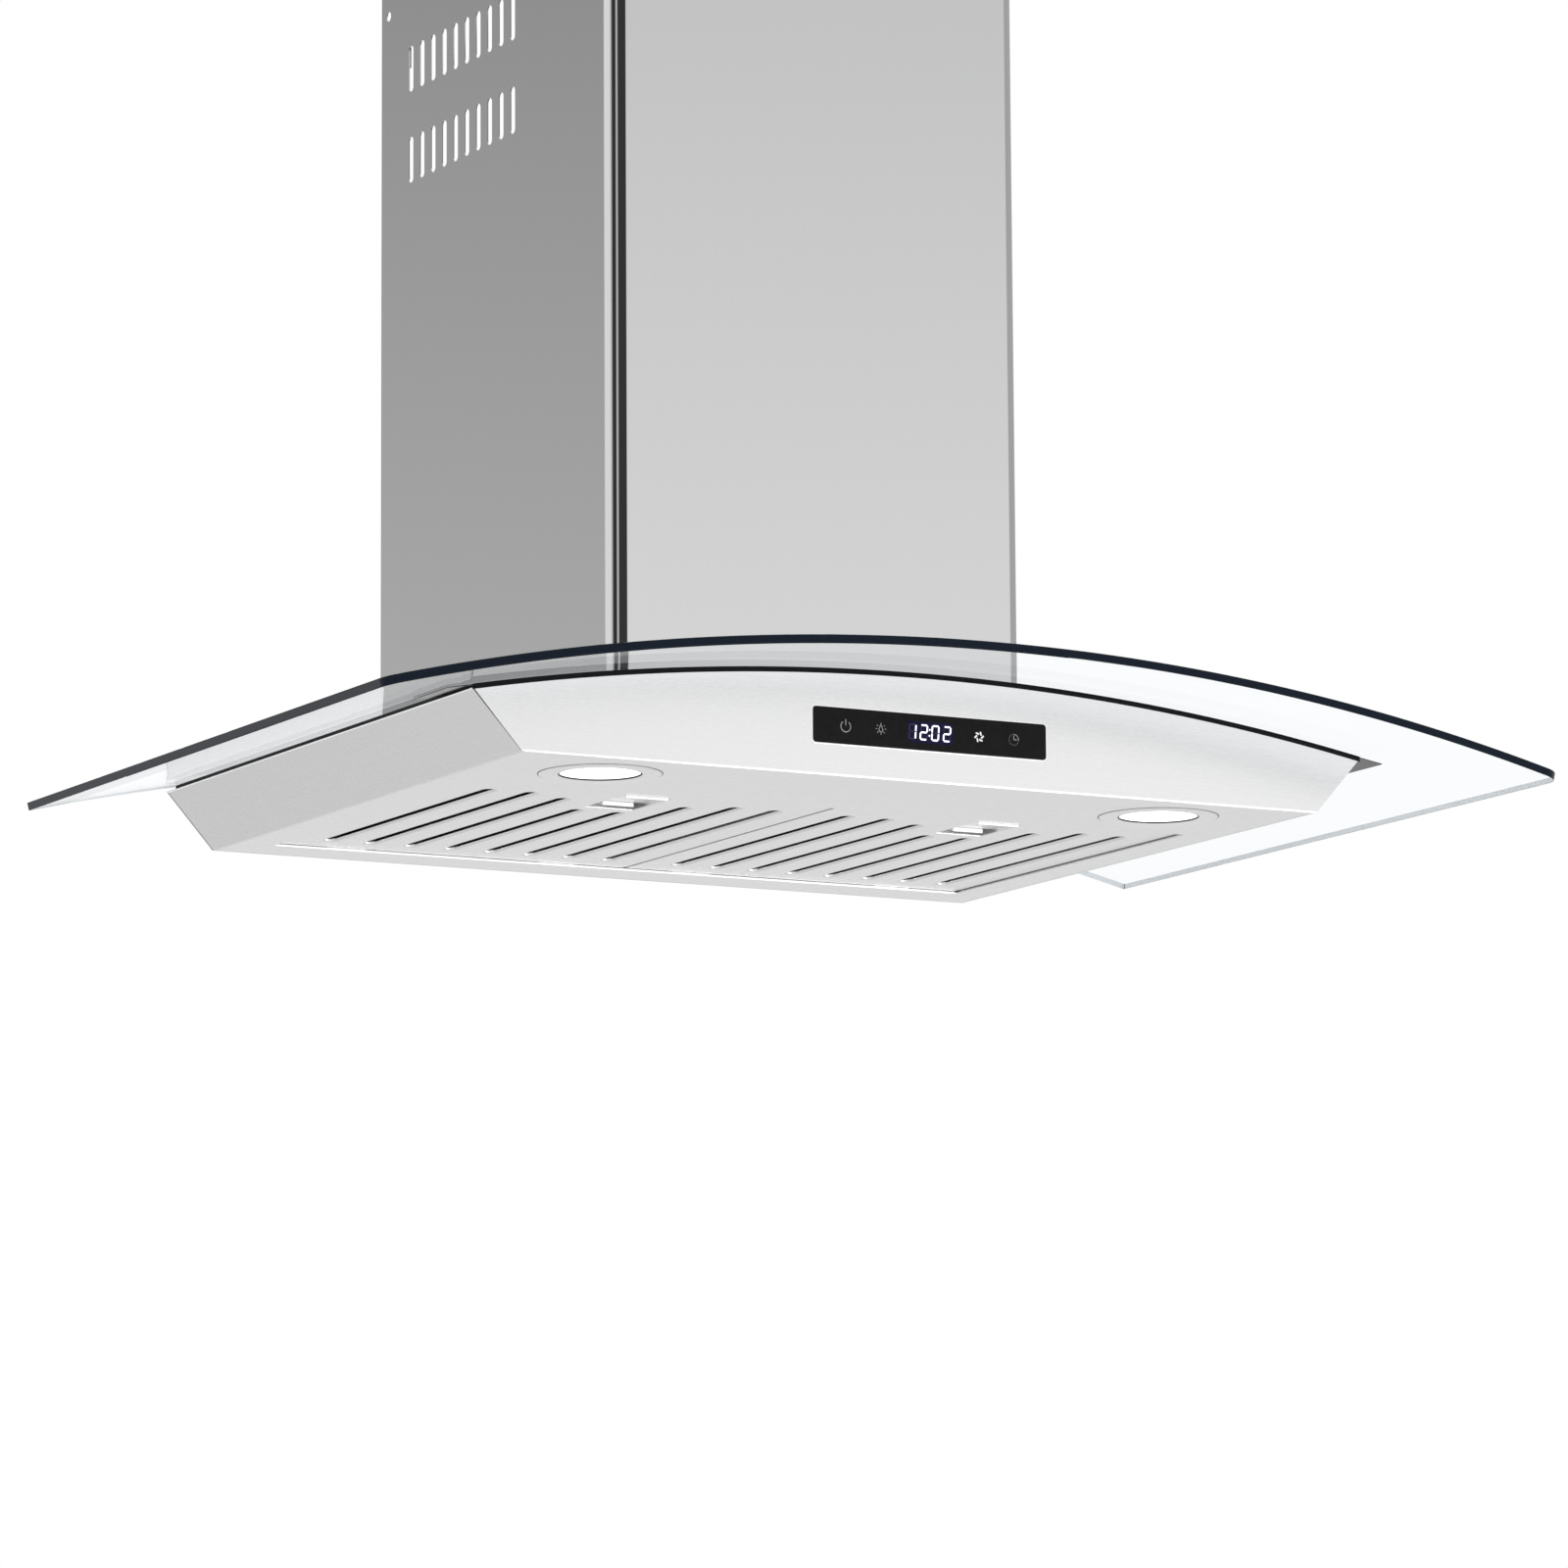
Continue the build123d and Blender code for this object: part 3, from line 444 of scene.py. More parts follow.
def makeCanopy():
    half = glassHigh.x
    back = glassHigh.y
    front = glassLow.y + canopy["bow"]
    sheet = addSheet("glassCanopy", -half, half, front, back, 0)
    pick(sheet, "VERT", lambda co: co.y < front + mm)
    bpy.ops.mesh.bevel(offset=canopy["corner"], segments=canopy["cornerSteps"], affect="VERTICES")
    leaveEdit()
    step = 2 * half / canopy["strips"]
    cuts = [-half + i * step for i in range(1, canopy["strips"])]
    cuts += [-canopy["notchHalf"], canopy["notchHalf"]]
    bisectAt(sheet, [(x, 0, 0) for x in cuts], (1, 0, 0))
    bisectAt(sheet, [(0, canopy["notchFront"], 0)], (0, 1, 0))
    notch = canopy["notchHalf"]
    pick(sheet, "FACE", lambda face: abs(face.center.x) < notch and face.center.y > canopy["notchFront"])
    bpy.ops.mesh.delete(type="FACE")
    leaveEdit()

    def arched(co):
        share = max(0.0, (back - co.y) / (back - front))
        co.y -= canopy["bow"] * (1 - (co.x / half) ** 2) * share**2
        co.z = archHeight(co.x)
        return co

    movePoints(sheet, arched)
    modify(sheet, "SOLIDIFY", thickness=canopy["thickness"], offset=1, use_even_offset=True)
    soften(sheet, canopy["rimBevel"], 2, 50)
    finishPiece(sheet, canopyGlass, "hood", "canopy_glass", "glass_canopy", angle=20)
    sheet.data.materials.append(shadedGlassRim)
    sheet.data.materials.append(litGlassRim)
    # Rim faces take the near-black painted shade copy, and those facing right or back the pale painted
    # light copy
    toRight, toBack = canopy["litRimNormals"]
    for face in sheet.data.polygons:
        if abs(face.normal.z) < canopy["rimUpright"]:
            atRight = face.normal.x > toRight and face.center.x > half - canopy["corner"]
            face.material_index = 2 if atRight or face.normal.y > toBack else 1


makeCanopy()
print("hood: canopy made")

# Chimney cover
chimney = {
    "sheet": 0.6 * mm,
    "corner": 10.5 * mm,
    "cornerSteps": 14,
    "paintedReflectionBends": ((6.4, 32.2), (38.5, 51.5)),  # degrees round the left bend painted dark, as painted reflection
    "proud": 3 * mm,  # above the solid's top
    "strips": 28,
    "seat": 0.3 * mm,  # above the glass
    "ventRows": (109 * mm, 52 * mm),  # below the top
    "ventCount": 10,
    "ventFirst": -42 * mm,
    "ventPitch": 15.53 * mm,
    "ventSize": (6 * mm, 28.6 * mm),
    "ventEnd": 0.46,  # rounding, as a share of the width
    "cutOver": 10 * mm,  # cutters reach past the sheet
    "holeRadius": 3 * mm,
    "holePlace": (-10 * mm, 12 * mm),  # from the wall, and below the top
    "earHole": 6.5 * mm,
    "earShift": 0.6,  # of the ear hole's radius, towards the wall
    "earFold": 0.2 * mm,
    "tabLength": 40 * mm,
    "tabReach": 7.5 * mm,
    "tabTop": 54 * mm,
    "tabBevel": 0.3 * mm,
}


def crossRod(radius, y, z, length):
    clearSelection()
    bpy.ops.mesh.primitive_cylinder_add(vertices=24, radius=radius, depth=length, location=(0, y, z),
                                        rotation=(0, math.pi / 2, 0))
    settle(bpy.context.object)
    return bpy.context.object


def ventCutters(low, high):
    wide, tall = chimney["ventSize"]
    over = chimney["cutOver"]
    slot = addBlock("ventSlot", (low.x - over, -wide / 2, -tall / 2), (high.x + over, wide / 2, tall / 2))
    pick(slot, "EDGE", lambda a, b: abs(a.x - b.x) > over)
    bpy.ops.mesh.bevel(offset=wide * chimney["ventEnd"], segments=5)
    leaveEdit()
    cutters = []
    for drop in chimney["ventRows"]:
        for i in range(chimney["ventCount"]):
            y = chimney["ventFirst"] - i * chimney["ventPitch"]
            cutters.append(copyMoved(slot, Vector((0, y, high.z - drop))))
    bpy.data.objects.remove(slot)
    y, drop = chimney["holePlace"]
    rod = crossRod(chimney["holeRadius"], y, high.z - drop, 2 * high.x + 2 * over)
    return joinAll("ventCutters", cutters + [rod])


def makeChimney():
    low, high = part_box("chimney_cover")
    cover = addBlock("chimneyCover", low, high + Vector((0, 0, chimney["proud"])))
    pick(cover, "FACE", lambda face: abs(face.normal.z) > 0.5 or face.normal.y > 0.5)
    bpy.ops.mesh.delete(type="FACE")
    pick(cover, "EDGE", lambda a, b: a.y < low.y + mm and b.y < low.y + mm and abs(a.z - b.z) > mm)
    bpy.ops.mesh.bevel(offset=chimney["corner"], segments=chimney["cornerSteps"])
    leaveEdit()
    step = (high.x - low.x) / chimney["strips"]
    bisectAt(cover, [(low.x + i * step, 0, 0) for i in range(1, chimney["strips"])], (1, 0, 0))
    seat = canopy["thickness"] + chimney["seat"]
    middle = (low.z + high.z) / 2

    def seated(co):
        if co.z < middle:
            co.z = archHeight(co.x, seat)
        return co

    movePoints(cover, seated)
    modify(cover, "SOLIDIFY", thickness=chimney["sheet"], offset=-1, use_even_offset=True)
    cutAway(cover, ventCutters(low, high))
    tab, reach, top = chimney["tabLength"] / 2, chimney["tabReach"], chimney["tabTop"]
    wall = high.x - chimney["sheet"]
    centre = low.y / 2
    inside = low.y + chimney["sheet"]
    foot = top - chimney["sheet"]
    tabs = [
        addBlock("tabFront", (-tab, inside, foot), (tab, inside + reach, top)),
        addBlock("tabLeft", (-wall, centre - tab, foot), (reach - wall, centre + tab, top)),
        addBlock("tabRight", (wall - reach, centre - tab, foot), (wall, centre + tab, top)),
    ]
    for piece in tabs:
        soften(piece, chimney["tabBevel"])
    cover = joinAll("chimneyCover", [cover] + tabs)
    finishPiece(cover, chimneySteel, "hood", "brushed_stainless", "chimney_cover", angle=25)
    # Faces of the left bend within these turns take the near-black steel: painted reflection of dark
    # surroundings
    cover.data.materials.append(paintedReflectionSteel)
    for face in cover.data.polygons:
        turn = math.degrees(math.atan2(-face.normal.x, -face.normal.y))
        onBend = face.center.x < low.x + chimney["corner"]
        if onBend and any(start < turn < end for start, end in chimney["paintedReflectionBends"]):
            face.material_index = 1
    brackets = softCopy("chimneyBrackets", "chimney_brackets", chimney["earFold"])
    y, drop = chimney["holePlace"]
    radius = chimney["earHole"]
    cutAway(brackets, crossRod(radius, y + radius * chimney["earShift"], high.z - drop, 2 * high.x))
    finishPiece(brackets, zinc, "hood", "galvanised_sheet", "chimney_brackets")


makeChimney()
print("hood: chimney made")

# Front panel, with the window for the touch control
panel = {
    "bottomHalf": 257 * mm,
    "sheet": 1 * mm,
    "strips": 48,
    "edgeGap": 2 * mm,  # to the glass
    "edgeBevel": 0.35 * mm,
    "hem": 0.55 * mm,
    "hemSink": 0.8,  # of its radius, inside the sheet's face
    "trimLip": 1.3 * mm,
    "trimProud": 0.3 * mm,
    "trimSeat": 0.3 * mm,
    "trimBevel": 0.6,  # as a share of trimProud
    "openingEdge": 2.6 * mm,  # filter face to the opening's back edge
    "openingSink": 0.45,  # the same, at the opening
    "openingRolls": (0.6, 1.27),  # levels of the two rolls that cover the fold's height, in radii
    "seal": 0.25 * mm,
    "sealInset": 0.1 * mm,
    "sealShort": 0.3 * mm,
    "windowGap": 0.3 * mm,
    "windowCorner": 2.3 * mm,
}


def roundedBlock(name, low, high, corner, axis, segments=5):
    block = addBlock(name, low, high)
    pick(block, "EDGE", lambda a, b: abs(a[axis] - b[axis]) > 0.01 * mm)
    bpy.ops.mesh.bevel(offset=corner, segments=segments)
    leaveEdit()
    return block


def hemBar(start, end, radius):  # a rolled edge along a straight line
    start, end = Vector(start), Vector(end)
    clearSelection()
    bpy.ops.mesh.primitive_cylinder_add(vertices=12, radius=radius, depth=(end - start).length)
    bar = bpy.context.object
    bar.rotation_euler = (end - start).to_track_quat("Z", "Y").to_euler()
    bar.location = (start + end) / 2
    settle(bar)
    endBevel = radius * 0.4
    soften(bar, endBevel, 2, 60)
    return bar


def uprightSheet(name, x0, x1, y, z0, z1, strips):
    clearSelection()
    bpy.ops.mesh.primitive_plane_add(size=1, rotation=(math.pi / 2, 0, 0))
    face = bpy.context.object
    face.name = name
    face.scale = (x1 - x0, z1 - z0, 1)
    face.location = ((x0 + x1) / 2, y, (z0 + z1) / 2)
    settle(face)
    step = (x1 - x0) / strips
    bisectAt(face, [(x0 + i * step, 0, 0) for i in range(1, strips)], (1, 0, 0))
    return face


def makeFrontPanel():
    low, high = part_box("front_panel")
    sideLow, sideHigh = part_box("side_panel_left")
    bottomHalf = panel["bottomHalf"]
    face = uprightSheet("frontPanel", low.x, high.x, low.y, low.z, high.z, panel["strips"])
    middle = (low.z + high.z) / 2

    def arched(co):
        if co.z > middle:
            co.z = archHeight(co.x, -panel["edgeGap"])
        return co

    movePoints(face, arched)
    lean = (high.x - bottomHalf) / (sideHigh.z - sideLow.z)
    for side in (-1, 1):
        bisectAt(face, [(side * bottomHalf, low.y, low.z)], (side, 0, -lean), clearOuter=True)
    modify(face, "SOLIDIFY", thickness=panel["sheet"], offset=-1, use_even_offset=True)
    glassFrom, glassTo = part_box("control_glass")
    gap = panel["windowGap"]
    windowLow = (glassFrom.x - gap, low.y - mm, glassFrom.z - gap)
    windowHigh = (glassTo.x + gap, high.y + mm, glassTo.z + gap)
    cutAway(face, roundedBlock("window", windowLow, windowHigh, panel["windowCorner"], 1))
    soften(face, panel["edgeBevel"], 2, 50)
    finishPiece(face, bodySteel, "hood", "brushed_stainless", "front_panel")
    seals = []
    inset, short = panel["sealInset"], panel["sealShort"]
    behind = high.y + inset
    for side in (-1, 1):
        foot = (side * (bottomHalf - inset), behind, low.z + short)
        top = (side * (high.x - inset), behind, sideHigh.z - short)
        seals.append(hemBar(foot, top, panel["seal"]))
    finishPiece(joinAll("cornerSeals", seals), blackRubber, "hood", "black_trim")


makeFrontPanel()

# Folded sheet pieces keep the CAD shape with soft folds
softFolds = {
    "side_panel_left": ("sidePanelLeft", 0.40 * mm, shadedSideSteel, "brushed_stainless"),
    "side_panel_right": ("sidePanelRight", 0.40 * mm, shadedSideSteel, "brushed_stainless"),
    "bottom_pan": ("bottomPan", 0.18 * mm, panSteel, "brushed_stainless"),
    "glass_corner_rests": ("cornerRests", 0.15 * mm, glossBlack, "black_plastic"),
}
for nodeName, (pieceName, foldWidth, foldFinish, slotName) in softFolds.items():
    finishPiece(softCopy(pieceName, nodeName, foldWidth), foldFinish, "hood", slotName, nodeName)


# Rolled edges, white as a painted highlight: the side panels' tops, the front panel's bottom and the filter
# opening's back
def makeHems():
    hem, half = panel["hem"], panel["bottomHalf"]
    sink = hem * panel["hemSink"]
    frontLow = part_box("front_panel")[0]
    level, ahead = frontLow.z + hem, frontLow.y + sink
    bars = [hemBar((-half, ahead, level), (half, ahead, level), hem)]
    low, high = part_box("side_panel_left")
    for side in (-1, 1):
        x, z = side * (-low.x - sink), high.z - hem
        bars.append(hemBar((x, low.y, z), (x, high.y, z), hem))
    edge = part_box("filter_left_face")[1].y + panel["openingEdge"] + hem * panel["openingSink"]
    reach = -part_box("filter_left_frame")[0].x
    for share in panel["openingRolls"]:
        level = frontLow.z + hem * share
        bars.append(hemBar((-reach, edge, level), (reach, edge, level), hem))
    finishPiece(joinAll("paintedHighlightHems", bars), paintedHighlightEdge, "hood", "brushed_stainless")


# The black strip's lip, which laps over the panels' top edges; its black is partly the real trim and partly
# painted shade of the gap under the glass
def makeTrimLip():
    low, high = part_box("front_panel")
    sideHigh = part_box("side_panel_left")[1]
    lip, proud, seat = panel["trimLip"], panel["trimProud"], panel["trimSeat"]
    face = uprightSheet("trimLip", low.x, high.x, low.y - proud, low.z, high.z, panel["strips"])
    middle = (low.z + high.z) / 2
    below = panel["edgeGap"] + lip

    def arched(co):
        co.z = archHeight(co.x, -seat if co.z > middle else -below)
        return co

    movePoints(face, arched)
    modify(face, "SOLIDIFY", thickness=proud + panel["sheet"], offset=-1, use_even_offset=True)
    bevel = proud * panel["trimBevel"]
    soften(face, bevel, 2, 50)
    parts = [face]
    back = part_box("edge_trim")[1].y
    outer, inner = high.x + proud / 2, high.x - panel["sheet"]
    foot, top = sideHigh.z - lip / 2, archHeight(outer) - seat
    for side in (-1, 1):
        left, right = sorted((side * outer, side * inner))
        strip = addBlock("trimSide", (left, low.y, foot), (right, back, top))
        soften(strip, bevel, 2, 50)
        parts.append(strip)
    finishPiece(joinAll("trimLip", parts), blackRubber, "hood", "black_trim")


makeHems()
makeTrimLip()
print("hood: body sheets made")

# Filter faces: round-ended slots with edges folded up into the filter
grille = {
    "sheet": 0.8 * mm,
    "slots": 8,
    "pitch": 26.3 * mm,
    "width": 7.4 * mm,
    "length": 221 * mm,
    "rear": 18.9 * mm,  # face's rear edge to the slots
    "stopShort": {1: 46 * mm, 3: 12 * mm},  # the slots behind the pull, by their place from the middle
    "lip": 1.5 * mm,
    "bend": 1.3 * mm,
    "foldSteps": 4,
    "slotRound": 0.98,  # of half the width, so that the corners' arcs don't meet
    "pullGap": 0.1 * mm,
    "stopSize": (9 * mm, 1 * mm),
    "stopGap": 0.3 * mm,
    "stopBevel": 0.25 * mm,
}


def slotRows(low, high):
    middle = (low.x + high.x) / 2
    rows = []
    for i in range(grille["slots"]):
        fromMiddle = abs(2 * i - grille["slots"] + 1)
        x = middle + (i - (grille["slots"] - 1) / 2) * grille["pitch"]
        back = high.y - grille["rear"]
        rows.append((x, back - grille["length"] + grille["stopShort"].get(fromMiddle, 0), back))
    return rows


def slotWithLip(x, front, back, level):
    bend = grille["bend"]
    half = grille["width"] / 2 + bend
    slot = addSheet("slot", x - half, x + half, front - bend, back + bend, level)
    pick(slot, "VERT", lambda co: True)
    bpy.ops.mesh.bevel(offset=half * grille["slotRound"], segments=6, affect="VERTICES")
    leaveEdit()
    pick(slot, "FACE", lambda polygon: True)
    turns = [math.pi / 2 * i / grille["foldSteps"] for i in range(grille["foldSteps"] + 1)]
    for a, b in zip(turns, turns[1:]):  # the sheet curls up along a quarter circle
        inward = bend * (math.sin(b) - math.sin(a))
        upward = bend * (math.cos(a) - math.cos(b))
        bpy.ops.mesh.inset(thickness=inward, depth=upward)
    bpy.ops.mesh.extrude_region_move(TRANSFORM_OT_translate={"value": (0, 0, grille["lip"] - bend)})
    bpy.ops.mesh.delete(type="FACE")
    leaveEdit()
    return slot


def makeFilterFace(side):
    node = "filter_" + side + "_face"
    low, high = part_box(node)
    pullLow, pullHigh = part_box("filter_" + side + "_latch_pull")
    gap = grille["pullGap"]
    outlines = [
        addSheet("filterFace", low.x, high.x, low.y, high.y, low.z),
        addSheet("pullCut", pullLow.x - gap, pullHigh.x + gap, pullLow.y - gap, pullHigh.y + gap, low.z),
    ]
    for outline in outlines:
        pick(outline, "FACE", lambda polygon: True)
        bpy.ops.mesh.delete(type="ONLY_FACE")
        leaveEdit()
    slots = [slotWithLip(x, front, back, low.z) for x, front, back in slotRows(low, high)]
    face = joinAll("filterFace" + side.title(), outlines + slots)
    pick(face, "EDGE", lambda a, b: max(a.z, b.z) < low.z + 0.01 * mm)
    bpy.ops.mesh.fill(use_beauty=True)
    leaveEdit()
    outward(face)
    if sum(polygon.normal.z * polygon.area for polygon in face.data.polygons) > 0:
        pick(face, "FACE", lambda polygon: True)
        bpy.ops.mesh.flip_normals()
        leaveEdit()
    modify(face, "SOLIDIFY", thickness=grille["sheet"], offset=-1)
    wide, deep = grille["stopSize"]
    middle = (low.x + high.x) / 2
    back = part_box("filter_" + side + "_latch_spring")[1].y + grille["stopGap"]
    foot = low.z + grille["sheet"]
    stop = addBlock("springStop", (middle - wide / 2, back, foot), (middle + wide / 2, back + deep, high.z))
    soften(stop, grille["stopBevel"])
    face = joinAll("filterFace" + side.title(), [face, stop])
    finishPiece(face, filterSteel, "filter_" + side, "brushed_stainless", node, angle=40)


# Latch pulls: a shallow recess with a rolled front lip, and the finger tab at its back; lip and tab are
# white as a painted highlight
pull = {
    "sheet": 0.8 * mm,
    "fold": 0.3 * mm,
    "depth": 2.5 * mm,
    "ceilingBevel": 0.1 * mm,
    "tabPlace": 36.5 * mm,  # behind the recess's front wall
    "tabHalf": 10 * mm,
    "tabThick": 0.6 * mm,
    "tabFoot": 0.05 * mm,
    "tabBevel": 0.2 * mm,
    "lipHalf": 13.5 * mm,
    "lipRadius": 0.75 * mm,
    "lipDrop": 0.3 * mm,
    "springFold": 0.05 * mm,
    "springKeep": 0.54,  # share of the spring's length left when the latch is back
}


def filterHem(side):  # the frame's rolled rear edge, white as a painted highlight
    faceLow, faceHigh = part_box("filter_" + side + "_face")
    radius = panel["hem"]
    y, z = faceHigh.y + radius, faceLow.z + radius * panel["hemSink"]
    bar = hemBar((faceLow.x, y, z), (faceHigh.x, y, z), radius)
    bar.name = "filterHem" + side.title()
    return bar


def pullCeiling(side):
    low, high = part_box("filter_" + side + "_latch_pull")
    inset = pull["sheet"] / 2
    back = low.y + pull["sheet"] + pull["tabPlace"] - 2 * pull["tabThick"]
    level = low.z + pull["depth"]
    corner = (high.x - inset, back, level + inset)
    plate = addBlock("pullCeiling", (low.x + inset, low.y + inset, level), corner)
    soften(plate, pull["ceilingBevel"])
    return plate


def pullLip(side):
    low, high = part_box("filter_" + side + "_latch_pull")
    middle, half = (low.x + high.x) / 2, pull["lipHalf"]
    y, z = low.y + pull["sheet"], low.z - pull["lipDrop"]
    lip = hemBar((middle - half, y, z), (middle + half, y, z), pull["lipRadius"])
    lip.name = "pullLip" + side.title()
    return lip


def fingerTab(side):
    low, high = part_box("filter_" + side + "_latch_pull")
    middle, half = (low.x + high.x) / 2, pull["tabHalf"]
    y = low.y + pull["sheet"] + pull["tabPlace"]
    foot = (middle - half, y - pull["tabThick"], low.z + pull["tabFoot"])
    tab = addBlock("fingerTab" + side.title(), foot, (middle + half, y, low.z + pull["depth"]))
    soften(tab, pull["tabBevel"])
    return tab


# The folded strip spring, with soft folds and a mesh of its own
def makeLatchSpring(side):
    node = "filter_" + side + "_latch_spring"
    strip = softCopy("latchSpring" + side.title(), node, pull["springFold"])
    finishPiece(strip, darkSteel, "filter_" + side, "steel", node)
    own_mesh(strip)


for sideName in ("left", "right"):
    title, filterName, latchName = sideName.title(), "filter_" + sideName, "latch_" + sideName
    makeFilterFace(sideName)
    makeLatchSpring(sideName)
    framePiece = softCopy("filterFrame" + title, filterName + "_frame", pull["fold"])
    finishPiece(framePiece, filterSteel, filterName, "brushed_stainless", filterName + "_frame")
    finishPiece(filterHem(sideName), paintedHighlightEdge, filterName, "brushed_stainless")
    pullPiece = softCopy("latchPull" + title, filterName + "_latch_pull", pull["fold"])
    pullPiece = joinAll("latchPull" + title, [pullPiece, pullCeiling(sideName)])
    finishPiece(pullPiece, filterSteel, filterName, "brushed_stainless", filterName + "_latch_pull")
    finishPiece(pullLip(sideName), paintedHighlightEdge, filterName, "brushed_stainless")
    finishPiece(fingerTab(sideName), paintedHighlightEdge, latchName, "steel")
    boltPiece = softCopy("latchBolt" + title, filterName + "_latch_bolt", pull["fold"])
    finishPiece(boltPiece, paintedLightBoltSteel, latchName, "steel", filterName + "_latch_bolt")
print("hood: filters made")

# Lamps: a turned bezel, black rings as painted shade in the bezel's groove and the lens's recess, and a
# shallow frosted lens, as radius and height in mm
lamp = {
    "ringRadius": 35 * mm,
    "steps": 72,
    "bezel": ((23.6, 0.5), (23.6, -0.2), (23.8, -0.35), (34.5, -0.35), (34.8, -0.2), (34.8, 0.0)),
    # Black rings in the bezel's groove and round the lens's recess: painted shade
    "joints": (((34.7, -0.04), (35.3, -0.04)), ((23.05, 0.6), (23.05, -0.3), (23.65, -0.3))),
    "lens": ((0.0, 0.35), (8.0, 0.36), (16.0, 0.38), (21.5, 0.42), (23.0, 0.5), (23.0, 1.0)),
}


def turned(name, profile, place):
    clearSelection()
    bpy.ops.mesh.primitive_plane_add(size=1)
    piece = bpy.context.object
    piece.name = name
    pick(piece, "VERT", lambda co: True)
    bpy.ops.mesh.merge(type="CENTER")
    (startRadius, startHeight), *rest = profile
    bpy.ops.transform.translate(value=(startRadius * mm, 0, startHeight * mm))
    last = profile[0]
    for point in rest:
        step = ((point[0] - last[0]) * mm, 0, (point[1] - last[1]) * mm)
        bpy.ops.mesh.extrude_vertices_move(TRANSFORM_OT_translate={"value": step})
        last = point
    bpy.ops.mesh.select_all(action="SELECT")
    bpy.ops.mesh.spin(steps=lamp["steps"], angle=2 * math.pi, center=(0, 0, 0), axis=(0, 0, 1))
    leaveEdit()
    outward(piece)
    piece.location = place
    settle(piece)
    return piece


def makeLamps():
    low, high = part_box("lamp_rings")
    x = (high.x - low.x) / 2 - lamp["ringRadius"]
    y = (low.y + high.y) / 2
    bezels = [turned("bezel", lamp["bezel"], (side * x, y, high.z)) for side in (-1, 1)]
    lenses = [turned("lens", lamp["lens"], (side * x, y, high.z)) for side in (-1, 1)]
    joints = []
    for profile in lamp["joints"]:
        joints += [turned("joint", profile, (side * x, y, high.z)) for side in (-1, 1)]
    for piece in bezels + lenses + joints:
        if sum(face.normal.z * face.area for face in piece.data.polygons) > 0:
            pick(piece, "FACE", lambda polygon: True)
            bpy.ops.mesh.flip_normals()
            leaveEdit()
    finishPiece(joinAll("lampShadeJoints", joints), blackRubber, "hood", "black_trim")
    finishPiece(joinAll("lampBezels", bezels), panSteel, "hood", "lamp_chrome", "lamp_rings")
    finishPiece(joinAll("lampLenses", lenses), lampLight, "hood", "lamp_lens", "lamp_lenses")


makeLamps()
print("hood: lamps made")

# Touch control: black glass, a clock display and four key signs
control = {
    "corner": 2 * mm,
    "edge": 0.25 * mm,
    "bezel": 0.7 * mm,
    "bezelProud": 0.2 * mm,
    "bezelSink": 0.4 * mm,
    "bezelBevel": 0.15 * mm,
    "inkLift": 0.05 * mm,
    "level": 7.3 * mm,  # the signs' middle
    "powerX": -54.7 * mm,
    "bulbX": -32.1 * mm,
    "fanX": 31.5 * mm,
    "timerX": 54.2 * mm,
    "displayHalf": (15 * mm, 6.2 * mm),
    "displayCorner": 1.5 * mm,
    "displayLift": 0.4,  # of inkLift
    "digitCells": ((-11.8, "1"), (-4.4, "2"), (3.0, "0"), (10.6, "2")),
    "digitSize": (4.2 * mm, 8.2 * mm),
    "digitLift": 1.2,  # of inkLift
    "segment": 0.9 * mm,
    "segmentGap": 0.5 * mm,
    "colon": (-0.7 * mm, 1.7 * mm),  # place across, and half the dots' distance
    "slant": 0.08,
}
litSegments = {"1": "bc", "2": "abged", "0": "abcdef"}


def inkBar(x, z, length, width, angle, lift=1.0):
    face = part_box("control_glass")[0].y
    thick = control["inkLift"] * lift
    bar = addBlock("ink", (-length / 2, -thick, -width / 2), (length / 2, thick, width / 2))
    pick(bar, "EDGE", lambda a, b: abs(a.y - b.y) > 0.001 * mm)
    bpy.ops.mesh.bevel(offset=width * 0.4, segments=2)
    leaveEdit()
    bar.rotation_euler = (0, -angle, 0)
    bar.location = (x, face, z)
    settle(bar)
    return bar


def inkArc(x, z, radius, width, start, end):
    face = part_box("control_glass")[0].y
    clearSelection()
    bpy.ops.mesh.primitive_torus_add(major_radius=radius, minor_radius=width / 2, major_segments=48,
                                     minor_segments=6, rotation=(math.pi / 2, 0, 0))
    arc = bpy.context.object
    settle(arc)

    def inGap(polygon):
        angle = math.degrees(math.atan2(polygon.center.z, polygon.center.x)) % 360
        return not start <= angle <= end

    pick(arc, "FACE", inGap)
    bpy.ops.mesh.delete(type="FACE")
    leaveEdit()
    movePoints(arc, lambda co: Vector((co.x, co.y * control["inkLift"] / (width / 2), co.z)))
    arc.location = (x, face, z)
    settle(arc)
    return arc


def spokes(x, z, count, radius, length, width, turn=0.0):
    bars = []
    for i in range(count):
        angle = i * 2 * math.pi / count
        place = (x + radius * math.cos(angle), z + radius * math.sin(angle))
        bars.append(inkBar(*place, length, width, angle + turn))
    return bars


